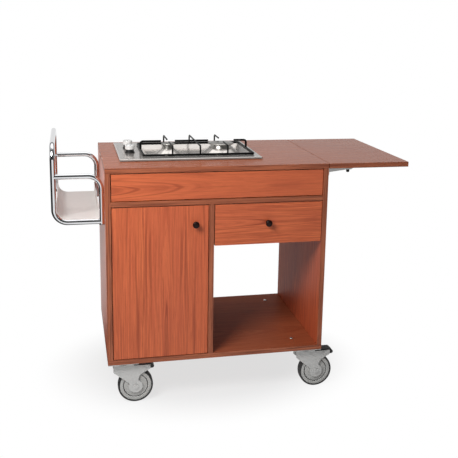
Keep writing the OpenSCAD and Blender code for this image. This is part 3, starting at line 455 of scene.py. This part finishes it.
def chromePaint():
    # Mirror chrome with faint finger haze
    paint = Paint("polishedChrome")
    haze = paint.ramp(paint.noise(chrome["haze"], 3.0), *chrome["span"])
    rough = haze * chrome["hazeRough"] + chrome["roughness"]
    return paint.finish(paint.mix(haze, *chrome["tones"]), metallic=1.0, roughness=rough)


def plasticPaint(name, colour, roughness, grainSize=0.0009, depth=0.00003, gloss=0.5):
    # Moulded plastic or enamel with a faint orange peel
    paint = Paint(name)
    peel = paint.noise(grainSize, 2.0)
    tint = paint.mix(paint.noise(plastic["cloud"], 2.0), darker(colour, plastic["shade"]), colour)
    return paint.finish(tint, roughness=roughness + peel * plastic["peelRough"], specular=gloss,
                        normal=paint.bump(peel, depth, plastic["strength"]))


def makePaints():
    return {
        "drawerBoard": woodPaint("drawerBoard", birch),
        "edge_x": woodPaint("cherryEdgeAcross", {**cherryEdge, "grain": "x", "across": "z"}),
        "edge_y": woodPaint("cherryEdgeDeep", {**cherryEdge, "grain": "y", "across": "z"}),
        "edge_z": woodPaint("cherryEdgeUp", {**cherryEdge, "grain": "z", "across": "x"}),
        "stainless": metalPaint("brushedStainless", tone(214, 208, 203), 0.15, "x", metallic=0.72),
        "zinc": metalPaint("zincPlate", tone(206, 206, 204), 0.36),
        "chrome": chromePaint(),
        "burner": metalPaint("castBurner", tone(196, 193, 188), 0.24),
        "brass": metalPaint("machinedBrass", tone(205, 172, 98), 0.28),
        "enamel": plasticPaint("blackEnamel", tone(9, 9, 9), 0.30, gloss=0.16),
        "pull": plasticPaint("darkLacquer", tone(28, 10, 7), 0.26, gloss=0.18),
        "tray": plasticPaint("trayEnamel", tone(228, 221, 217), 0.32),
        "white": plasticPaint("silverPlastic", tone(232, 231, 229), 0.20),
        "black": plasticPaint("darkPlastic", tone(30, 29, 29), 0.36),
        "grey": plasticPaint("greyPlastic", tone(194, 194, 191), 0.42),
        "castor": metalPaint("castorGrey", tone(210, 210, 208), 0.36, metallic=0.25),
        "nylon": plasticPaint("naturalNylon", tone(225, 222, 212), 0.45),
        "rubber": plasticPaint("darkRubber", tone(40, 39, 39), 0.62),
        "tyre": plasticPaint("tyreRubber", tone(46, 45, 45), 0.58, 0.0014, 0.0001),
    }


slotPaints = {
    "cherry": "edge_z", "cherry_edge": "edge_x", "cherry_top": "edge_x", "drawer_board": "drawerBoard",
    "stainless": "stainless", "zinc": "zinc", "chrome": "chrome", "burner": "burner", "brass": "brass",
    "enamel_black": "enamel", "pull_dark": "pull", "tray": "tray", "plastic_white": "white",
    "plastic_dark": "black", "plastic_grey": "grey", "castor_grey": "castor", "nylon": "nylon",
    "rubber_dark": "rubber", "tyre": "tyre",
}


def paintNodes():
    # Every node of the frame takes its slot's finish, also those that a finer piece stands for
    for name, piece in nodes.items():
        for slot in piece.material_slots:
            slot.material = paints[slotPaints[slotOf[name]]]


# Modelling tools

# Angles in degrees; a weld is the distance in metres within which corners merge
shaping = {
    "smoothAngle": 35,
    "wireAngle": 80,
    "endAngle": 60,
    "easeAngle": 32,
    "flatAngle": 0.4,
    "faceWeight": 80,
    "copyWeld": 0.000004,
    "turnedWeld": 0.000002,
    "wireWeld": 0.000005,
    "wireSides": 12,
    "cornerSteps": 6,
    "beadSides": 10,
}


def alone(*pieces):
    if bpy.context.object and bpy.context.object.mode == "EDIT":
        bpy.ops.object.mode_set(mode="OBJECT")
    bpy.ops.object.select_all(action="DESELECT")
    for piece in pieces:
        piece.select_set(True)
        bpy.context.view_layer.objects.active = piece


def discard(*pieces):
    alone(*pieces)
    bpy.ops.object.delete()


def rest(piece):
    # The piece's place goes into its mesh
    alone(piece)
    bpy.ops.object.transform_apply(location=True, rotation=True, scale=True)
    return piece


def smooth(piece, angle=shaping["smoothAngle"]):
    alone(piece)
    bpy.ops.object.shade_smooth_by_angle(angle=math.radians(angle))
    return piece


def flatFaced(piece):
    # The large faces keep their own direction and the arrises do the turning
    alone(piece)
    weighted = piece.modifiers.new("weighted", "WEIGHTED_NORMAL")
    weighted.keep_sharp = True
    weighted.weight = shaping["faceWeight"]
    bpy.ops.object.modifier_apply(modifier="weighted")
    return piece


def fit(piece, finish, node, *stands):
    # The finish, slot and body of the node that the piece stands for or sits on
    if finish:
        piece.data.materials.clear()
        piece.data.materials.append(paints[finish])
    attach(piece, bodyOf[node])
    if stands:
        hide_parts(*stands)
    return piece


def fromCabinet(x, y, z):
    # Millimetres from the cabinet's front left corner on the floor
    return Vector((cabinet["corner"].x + x * mm, cabinet["corner"].y + y * mm, z * mm))


def middle(node):
    low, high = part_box(node)
    return (low + high) / 2


def nodeCopy(node, name):
    # A node's own mesh as loose as it comes, merged into whole faces
    piece = bpy.data.objects.new(name, nodes[node].data.copy())
    bpy.context.scene.collection.objects.link(piece)
    alone(piece)
    bpy.ops.mesh.customdata_custom_splitnormals_clear()
    bpy.ops.object.mode_set(mode="EDIT")
    bpy.ops.mesh.select_all(action="SELECT")
    bpy.ops.mesh.remove_doubles(threshold=shaping["copyWeld"])
    bpy.ops.mesh.dissolve_limited(angle_limit=math.radians(shaping["flatAngle"]))
    bpy.ops.object.mode_set(mode="OBJECT")
    return piece


def ease(piece, width, segments=2, limit=shaping["easeAngle"]):
    # Arrises rounded over by a width in millimetres
    alone(piece)
    bevel = piece.modifiers.new("ease", "BEVEL")
    bevel.width = width * mm
    bevel.segments = segments
    bevel.limit_method = "ANGLE"
    bevel.angle_limit = math.radians(limit)
    bpy.ops.object.modifier_apply(modifier="ease")
    return flatFaced(smooth(piece))


def easedNode(node, width, finish=None, segments=2):
    piece = ease(nodeCopy(node, node + "_eased"), width, segments)
    return fit(piece, finish or slotPaints[slotOf[node]], node, node)


def closeUp(reach, fill=False):
    # In edit mode: corners within reach merge, open ends fill if asked, and the faces turn outward
    bpy.ops.mesh.select_all(action="SELECT")
    bpy.ops.mesh.remove_doubles(threshold=reach)
    if fill:
        bpy.ops.mesh.fill_holes(sides=0)
        bpy.ops.mesh.select_all(action="SELECT")
    bpy.ops.mesh.normals_make_consistent(inside=False)
    bpy.ops.object.mode_set(mode="OBJECT")


def turned(name, profile, sides=48):
    # A turned shape: a ring drawn out along a profile of [radius, height] in millimetres
    alone()
    bpy.ops.mesh.primitive_circle_add(vertices=sides, radius=profile[0][0] * mm, fill_type="NOTHING",
                                      location=(0, 0, profile[0][1] * mm))
    piece = bpy.context.object
    piece.name = name
    bpy.ops.object.mode_set(mode="EDIT")
    bpy.ops.mesh.select_all(action="SELECT")
    for before, after in zip(profile, profile[1:]):
        bpy.ops.mesh.extrude_region_move(TRANSFORM_OT_translate={"value": (0, 0, (after[1] - before[1]) * mm)})
        factor = after[0] / before[0]
        bpy.ops.transform.resize(value=(factor, factor, 1))
    closeUp(shaping["turnedWeld"], fill=True)
    return rest(piece)


def settled(piece, place, turn):
    piece.location = place
    piece.rotation_euler = [math.radians(angle) for angle in turn]
    return rest(piece)


def another(piece, name):
    # A copy with its own mesh
    alone(piece)
    bpy.ops.object.duplicate(linked=False)
    bpy.context.object.name = name
    return bpy.context.object


def joined(name, *pieces):
    alone(*pieces)
    bpy.ops.object.join()
    bpy.context.object.name = name
    return bpy.context.object


# Turns in degrees that point an upright piece each way
forward = (90, 0, 0)
backward = (-90, 0, 0)
rightward = (0, 90, 0)
leftward = (0, -90, 0)
upright = (0, 0, 0)
downward = (180, 0, 0)


def bead(name, place, radius, wire, turn=upright, sides=64):
    # A round ring, such as a seat ring, a grommet or a barb
    alone()
    bpy.ops.mesh.primitive_torus_add(major_radius=radius * mm, minor_radius=wire * mm, major_segments=sides,
                                     minor_segments=shaping["beadSides"])
    bpy.context.object.name = name
    return smooth(settled(bpy.context.object, place, turn), shaping["wireAngle"])


def rodProfile(radius, length):
    # A rod with rounded ends: shares of the radius give each ring's width and its depth from the end
    end = [(0.1, 0), (0.6, 0.12), (0.9, 0.45), (1, 1)]
    foot = [[radius * width, radius * depth] for width, depth in end]
    return foot + [[width, length - depth] for width, depth in reversed(foot)]


def ringTube(name, low, high, corner, wire):
    # A closed round wire that follows a rounded rectangle at the height of its first corner
    alone()
    bend = corner * mm
    bpy.ops.mesh.primitive_circle_add(vertices=shaping["wireSides"], radius=wire * mm, fill_type="NOTHING",
                                      location=(low.x + bend, low.y, low.z), rotation=(0, math.radians(90), 0))
    piece = rest(bpy.context.object)
    piece.name = name
    bpy.ops.object.mode_set(mode="EDIT")
    bpy.ops.mesh.select_all(action="SELECT")
    sidesRound = [((1, 0, 0), high.x - low.x, (high.x - bend, low.y + bend, low.z)),
                  ((0, 1, 0), high.y - low.y, (high.x - bend, high.y - bend, low.z)),
                  ((-1, 0, 0), high.x - low.x, (low.x + bend, high.y - bend, low.z)),
                  ((0, -1, 0), high.y - low.y, (low.x + bend, low.y + bend, low.z))]
    for course, span, centre in sidesRound:
        bpy.ops.mesh.extrude_region_move(TRANSFORM_OT_translate={"value": Vector(course) * (span - 2 * bend)})
        bpy.ops.mesh.spin(steps=shaping["cornerSteps"], angle=math.radians(-90), center=centre, axis=(0, 0, 1))
    closeUp(shaping["wireWeld"])
    return smooth(piece, shaping["wireAngle"])


def scattered(name, profile, places, finish, node, sides=24):
    # One turned shape at several places and turns, as one piece
    pattern = turned(name + "_pattern", profile, sides)
    copies = [settled(another(pattern, name), place, turn) for place, turn in places]
    discard(pattern)
    return fit(smooth(joined(name, *copies)), finish, node)


screwHeads = {
    "pan": [[0.35, 0], [3.6, 0], [3.6, 0.5], [3.3, 1.2], [2.6, 1.7], [1.6, 1.85], [1.5, 0.8], [0.35, 0.8]],
    "large": [[0.4, 0], [5.0, 0], [5.0, 0.7], [4.6, 1.7], [3.6, 2.35], [2.1, 2.5], [1.9, 1.1], [0.4, 1.1]],
}


# Boards

boardEase = 0.9


def makeBoards():
    # Each board gets its own veneer on its faces and a banded edge along each side
    for node, board in boards.items():
        piece = nodeCopy(node, node + "_veneered")
        piece.data.materials.clear()
        piece.data.materials.append(woodPaint(node + "Veneer", board["look"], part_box(node)[0]))
        for letter in "xyz":
            piece.data.materials.append(paints["edge_" + letter])
        face = board["face"]
        for polygon in piece.data.polygons:
            facing = "xyz"[max(range(3), key=lambda axis: abs(polygon.normal[axis]))]
            if facing == face:
                polygon.material_index = 0
            else:
                grain = next(letter for letter in "xyz" if letter not in (face, facing))
                polygon.material_index = 1 + "xyz".index(grain)
        ease(piece, boardEase)
        fit(piece, None, node, node)
    print("Veneered", len(boards), "boards")


# Pulls, as profiles of [radius, height] in millimetres

pull = {
    "profile": [[0.6, 0], [7.4, 0], [7.6, 0.7], [6.6, 1.7], [5.7, 4], [5.5, 7.5], [6.3, 10.2], [8.6, 12.2],
                [10.8, 13.9], [11.8, 15.8], [12, 17.6], [11.8, 19.6], [10.9, 21.5], [9.2, 22.9], [6.4, 23.7],
                [3, 23.95], [0.6, 24]],
    "screw": [[0.6, 0], [2, 0], [2, 18], [4, 18], [4, 18.5], [3.7, 19.6], [2.8, 20.3], [1.4, 20.5], [0.6, 20.5]],
}


def makePulls():
    for node in ("door_pull", "drawer_pull"):
        place = middle(node)
        place.y = cabinet["corner"].y
        knob = settled(turned(node + "_turned", pull["profile"]), place, forward)
        fit(smooth(knob), "pull", node, node)
        screw = settled(turned(node + "_screw", pull["screw"], 24), place, backward)
        fit(smooth(screw), "zinc", node, node)
    print("Turned the pulls")


# Castors: a wheel's profiles start at its middle plane, and the plates' places are from the cabinet's corners

castor = {
    "wheel": [[5.05, 16.5], [8.4, 16.5], [9.2, 16.1], [10.2, 15.6], [11.4, 13.8], [13.0, 13.0], [39.6, 12.6],
              [41.2, 12.2], [42.0, 10.9], [43.6, 10.9], [44.2, 12.4], [45.4, 13.9], [53.6, 14.0], [54.8, 13.6],
              [56.0, 12.9]],
    "tyre": [[56.0, 13.2], [56.3, 14.2], [57.6, 14.8], [59.2, 15.0], [60.6, 14.4], [61.6, 12.9], [62.2, 10.8],
             [62.5, 8.2], [62.5, 5.0], [61.7, 4.6], [61.7, 3.4], [62.5, 3.0]],
    "groove": [[41.6, 12.0], [43.7, 12.0], [43.7, 9.0], [41.6, 9.0], [41.6, 12.0]],
    "nut": [[4.05, 0], [6.6, 0], [8.3, 0.7], [8.3, 4.3], [7.4, 4.8], [4.05, 4.8]],
    "washer": [[4.05, 0], [8.4, 0], [8.6, 0.4], [8.4, 0.9], [4.05, 0.9]],
    "bolt": [[0.4, 0.2], [3.2, 0.2], [3.9, 0.9], [3.9, 26.5]],
    "dome": [[0.4, 0], [6.7, 0], [6.8, 0.6], [6.5, 1.5], [5.6, 2.4], [4.2, 3.0], [2.4, 3.2], [0.4, 3.2]],
    "race": [[27.0, 0], [30.2, 0], [31.0, 0.8], [31.0, 2.2], [30.4, 3.0], [27.0, 3.0]],
    "sides": {"wheel": 72, "tyre": 96, "groove": 72, "race": 48},
    "ease": {"fork": 0.7, "brake": 1.2, "plates": 0.4},
    "plateTo": 53.5,
    "acrossTo": 43.5,
    "holes": (40, 30),
    "under": 157.0,
    "bayFloor": 178.0,
    "raceLevel": 149.2,
    "shankDrop": 5.6,
    "nutDrop": 5.4,
}


def mirroredProfile(half):
    # A closed section from the half that lies on the positive side
    return half + [[radius, -height] for radius, height in reversed(half)] + [half[0]]


def makeCastors():
    patterns = {part: turned(part + "_pattern", mirroredProfile(castor[part]), castor["sides"][part])
                for part in ("wheel", "tyre")}
    for corner in ("front_left", "front_right", "rear_left", "rear_right"):
        place = middle("wheel_" + corner)
        for part, pattern in patterns.items():
            node = f"{part}_{corner}"
            piece = settled(another(pattern, node + "_turned"), place, forward)
            fit(smooth(piece), slotPaints[slotOf[node]], node, node)
        easedNode("fork_" + corner, castor["ease"]["fork"])
        if corner.startswith("front"):
            easedNode("brake_" + corner, castor["ease"]["brake"], segments=3)
        # A black ring sits in each wheel's groove as painted shade that darkens the groove
        grooves = [settled(turned("groove", castor["groove"], castor["sides"]["groove"]), place, turn)
                   for turn in (forward, backward)]
        fit(smooth(joined("groove_" + corner, *grooves)), "black", "wheel_" + corner)
    discard(*patterns.values())
    easedNode("castor_plates", castor["ease"]["plates"])
    makeCastorFixings()
    print("Made the castors")


def makeCastorFixings():
    # A bolt through the board at each plate's inner hole and screws at the other three
    plates, bolts, screws = [], [], []
    for x, inX in ((castor["plateTo"], 1), (cabinet["width"] - castor["plateTo"], -1)):
        for y, inY in ((castor["acrossTo"], 1), (cabinet["depth"] - castor["acrossTo"], -1)):
            plates.append((x, y))
            for sideX in (-1, 1):
                for sideY in (-1, 1):
                    holes = bolts if (sideX, sideY) == (inX, inY) else screws
                    holes.append((x + sideX * castor["holes"][0], y + sideY * castor["holes"][1]))
    under = castor["under"]
    sets = (
        ("bolt_domes", "dome", castor["bayFloor"], upright, 32),
        ("bolt_shanks", "bolt", under - castor["shankDrop"], upright, 20),
        ("bolt_washers", "washer", under, downward, 32),
        ("bolt_nuts", "nut", under - castor["nutDrop"], upright, 6),
    )
    for name, profile, level, turn, sides in sets:
        places = [(fromCabinet(*hole, level), turn) for hole in bolts]
        piece = scattered(name, castor[profile], places, "zinc", "castor_bolts", sides)
        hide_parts("castor_bolts")
    heads = [(fromCabinet(*hole, under), downward) for hole in screws]
    scattered("castor_screws", screwHeads["large"], heads, "zinc", "castor_plates")
    # The race rings are real parts; their black finish also paints the shade in the gap between fork and plate
    races = [(fromCabinet(*plate, castor["raceLevel"]), upright) for plate in plates]
    scattered("castor_races_shaded", castor["race"], races, "black", "castor_plates", castor["sides"]["race"])


# Hob: a burner is its place and diameter, and near is how close to the rim's level an edge must lie

hob = {
    "rim": {"level": 868, "near": 0.2, "reach": 1.4, "round": 3.0, "segments": 4},
    "plateEase": (0.7, 3, 20),
    "shadowSeal": {"corner": 4.0, "wire": 0.9, "inside": 0.35},
    "burners": ((248, 297, 50), (449, 297, 96)),
    "seatRing": {"level": 873.4, "share": 0.485, "wire": 0.7},
    "mark": {"radius": 0.7, "length": 8, "deep": 9.2, "below": 0.9},
    "ease": 0.4,
    "eased": ("hob_case", "burner_heads", "small_burner_cap", "large_burner_cap", "tap_collars",
              "front_tap_knob", "rear_tap_knob"),
}


def roundRim(plate, low, high):
    # The plate's top outer edges turn over in a wider round than its other arrises
    rim = hob["rim"]
    alone(plate)
    bpy.ops.object.mode_set(mode="EDIT")
    bpy.ops.mesh.select_all(action="DESELECT")
    bpy.ops.object.mode_set(mode="OBJECT")
    for edge in plate.data.edges:
        corners = [plate.data.vertices[index].co for index in edge.vertices]
        edge.select = all(abs(corner.z - rim["level"] * mm) < rim["near"] * mm
                          and min(corner.x - low.x, high.x - corner.x,
                                  corner.y - low.y, high.y - corner.y) < rim["reach"] * mm
                          for corner in corners)
    print("Rounds", sum(edge.select for edge in plate.data.edges), "edges of the plate's rim")
    bpy.ops.object.mode_set(mode="EDIT")
    bpy.ops.mesh.select_mode(type="EDGE")
    bpy.ops.mesh.bevel(offset=rim["round"] * mm, segments=rim["segments"], profile=0.5, affect="EDGES")
    bpy.ops.mesh.select_mode(type="VERT")
    bpy.ops.object.mode_set(mode="OBJECT")


def makeHob():
    plate = nodeCopy("hob_plate", "hob_plate_pressed")
    low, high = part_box("hob_plate")
    roundRim(plate, low, high)
    fit(ease(plate, *hob["plateEase"]), "stainless", "hob_plate", "hob_plate")
    shadowSeal, seat, mark = hob["shadowSeal"], hob["seatRing"], hob["mark"]
    # The dark rubber seal under the rim is partly a real seal and partly painted shadow along the rim's foot
    inset = Vector((shadowSeal["inside"] * mm, shadowSeal["inside"] * mm, 0))
    foot = Vector((low.x, low.y, (cabinet["top"] + shadowSeal["wire"]) * mm)) + inset
    fit(ringTube("plate_shadowSeal", foot, high - inset, shadowSeal["corner"], shadowSeal["wire"]), "rubber", "hob_plate")
    for x, y, across in hob["burners"]:
        place = fromCabinet(x, y, seat["level"])
        ring = bead(f"seat_ring_{across}", place, across * seat["share"], seat["wire"])
        fit(ring, "stainless", "hob_plate")
    for knob in ("front_tap_knob", "rear_tap_knob"):
        low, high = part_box(knob)
        end = Vector((middle(knob).x, low.y + mark["deep"] * mm, high.z - mark["below"] * mm))
        rod = turned(knob + "_mark", rodProfile(mark["radius"], mark["length"]), 12)
        fit(smooth(settled(rod, end - Vector((0, mark["length"] * mm, 0)), backward)), "black", knob)
    for node in hob["eased"]:
        easedNode(node, hob["ease"])
    print("Finished the hob")


# Rack

rackEase = {"rack_handle": 0.2, "rack_front_guard": 0.2, "rack_rear_guard": 0.2, "rack_tray": 0.4,
            "rack_plugs": 0.5, "rack_bolts": 0.4}
tray = {"hem": 1.5, "from": 70, "to": 480, "lip": (-18.95, 712.4), "wall": (-157.25, 727.4)}


def makeRack():
    for node, width in rackEase.items():
        easedNode(node, width)
    roll = rodProfile(tray["hem"], tray["to"] - tray["from"])
    hems = [settled(turned("hem", roll, 16), fromCabinet(x, tray["from"], z), backward)
            for x, z in (tray["lip"], tray["wall"])]
    fit(smooth(joined("tray_hems", *hems), shaping["endAngle"]), "tray", "rack_tray")
    print("Finished the rack")


# Fittings, in millimetres from the cabinet's corner

fittings = {
    "ease": 0.3,
    "eased": ("pan_support", "drawer_box", "drawer_bottom", "drawer_runners", "cabinet_runners", "leaf_arms",
              "leaf_wall_plates", "leaf_pins", "leaf_buffers", "gas_manifold"),
    "easedDark": ("pivot_bushes", "door_pivots"),
    "bars": {"radius": 4.0, "flat": 0, "ends": ((221.6, 297), (274.4, 297), (399.2, 297), (498.8, 297))},
    "arches": {"radius": 3.0, "flat": 1, "ends": ((248, 264.8), (248, 329.2), (449, 247.3), (449, 346.7))},
    "dome": {"height": 0.20, "share": 0.995},
    "brackets": (60, 490),
    "plateScrews": {"x": 782.0, "z": (793.5, 803.5)},
    "armScrews": {"x": (812, 884), "z": 840.0},
    "runnerScrews": {"y": (90, 250, 400), "left": 372.2, "right": 760.8},
    "frontScrews": {"x": (450, 680), "y": 30, "z": (625, 675)},
    "runnerMiddle": 646.5,
    "roller": [[2.6, 0], [13.2, 0], [14.1, 0.9], [14.1, 5.9], [13.2, 6.8], [2.6, 6.8]],
    "fixedPin": [[0.4, 0], [2.5, 0], [2.5, 9.1], [4.0, 9.1], [3.6, 9.8], [0.4, 9.9]],
    "movingPin": [[0.4, 0], [2.5, 0], [2.5, 7.3], [4.0, 7.3], [3.6, 7.9], [0.4, 8.0]],
    "hose": {"place": (78, 502), "radius": 15.6, "wire": 2.2, "levels": (728.2, 743.8)},
    "inlet": {"place": (103, 815), "radius": 8.0, "wire": 0.9, "barbs": (488.5, 491.5, 494.5)},
}

# Name, profile, finish, sides, the node it sits on, its depth, and where each of the two starts and points
runnerParts = (
    ("fixed_rollers", "roller", "nylon", 40, "cabinet_runners", 42, (374.4, rightward), (758.6, leftward)),
    ("moving_rollers", "roller", "nylon", 40, "drawer_runners", 448, (375.4, rightward), (757.6, leftward)),
    ("fixed_pins", "fixedPin", "zinc", 16, "cabinet_runners", 42, (372.2, rightward), (760.8, leftward)),
    ("moving_pins", "movingPin", "zinc", 16, "drawer_runners", 448, (382.5, leftward), (750.5, rightward)),
)


def makeFittings():
    for node in fittings["eased"]:
        easedNode(node, fittings["ease"])
    for node in fittings["easedDark"]:
        easedNode(node, fittings["ease"], "pull")
    makeWireEnds()
    makeScrews()
    makeRunnerParts()
    makeRings()
    print("Finished the fittings")


def makeWireEnds():
    # Slightly domed ends on the support's free bars and arches
    alone()
    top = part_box("pan_support")[1].z
    ends = []
    for wire in (fittings["bars"], fittings["arches"]):
        radius = wire["radius"] * mm
        for x, y in wire["ends"]:
            place = fromCabinet(x, y, 0)
            place.z = top - radius
            bpy.ops.mesh.primitive_uv_sphere_add(segments=20, ring_count=12, location=place,
                                                 radius=radius * fittings["dome"]["share"])
            bpy.context.object.scale[wire["flat"]] = fittings["dome"]["height"]
            ends.append(rest(bpy.context.object))
    fit(smooth(joined("support_ends", *ends), shaping["endAngle"]), "enamel", "pan_support")


def makeScrews():
    plate, arm = fittings["plateScrews"], fittings["armScrews"]
    runner, front = fittings["runnerScrews"], fittings["frontScrews"]
    wall = [(fromCabinet(plate["x"], y, z), rightward) for y in fittings["brackets"] for z in plate["z"]]
    scattered("bracket_screws", screwHeads["pan"], wall, "zinc", "leaf_wall_plates")
    under = [(fromCabinet(x, y, arm["z"]), downward) for y in fittings["brackets"] for x in arm["x"]]
    scattered("arm_screws", screwHeads["pan"], under, "zinc", "leaf_arms")
    webs = [(fromCabinet(x, y, fittings["runnerMiddle"]), turn)
            for x, turn in ((runner["left"], rightward), (runner["right"], leftward)) for y in runner["y"]]
    scattered("runner_screws", screwHeads["pan"], webs, "zinc", "cabinet_runners")
    inside = [(fromCabinet(x, front["y"], z), backward) for x in front["x"] for z in front["z"]]
    scattered("front_screws", screwHeads["large"], inside, "zinc", "drawer_box")


def makeRunnerParts():
    for name, profile, finish, sides, node, y, *ends in runnerParts:
        places = [(fromCabinet(x, y, fittings["runnerMiddle"]), turn) for x, turn in ends]
        scattered(name, fittings[profile], places, finish, node, sides)


def makeRings():
    # The hose's grommet and the barbs on the gas inlet
    hose, inlet = fittings["hose"], fittings["inlet"]
    grommets = [bead(f"grommet_{z}", fromCabinet(*hose["place"], z), hose["radius"], hose["wire"])
                for z in hose["levels"]]
    fit(smooth(joined("hose_grommet", *grommets), shaping["wireAngle"]), "rubber", "hob_shelf")
    x, z = inlet["place"]
    barbs = [bead(f"barb_{y}", fromCabinet(x, y, z), inlet["radius"], inlet["wire"], backward, 40)
             for y in inlet["barbs"]]
    fit(smooth(joined("inlet_barbs", *barbs), shaping["wireAngle"]), "brass", "gas_manifold")


addCamera()
addFloor()
for name in ("key", "fill", "top"):
    addLamp(name)
addWorld()
paints = makePaints()
print("Made", len(paints), "finishes")
paintNodes()
makeBoards()
makePulls()
makeCastors()
makeHob()
makeRack()
makeFittings()
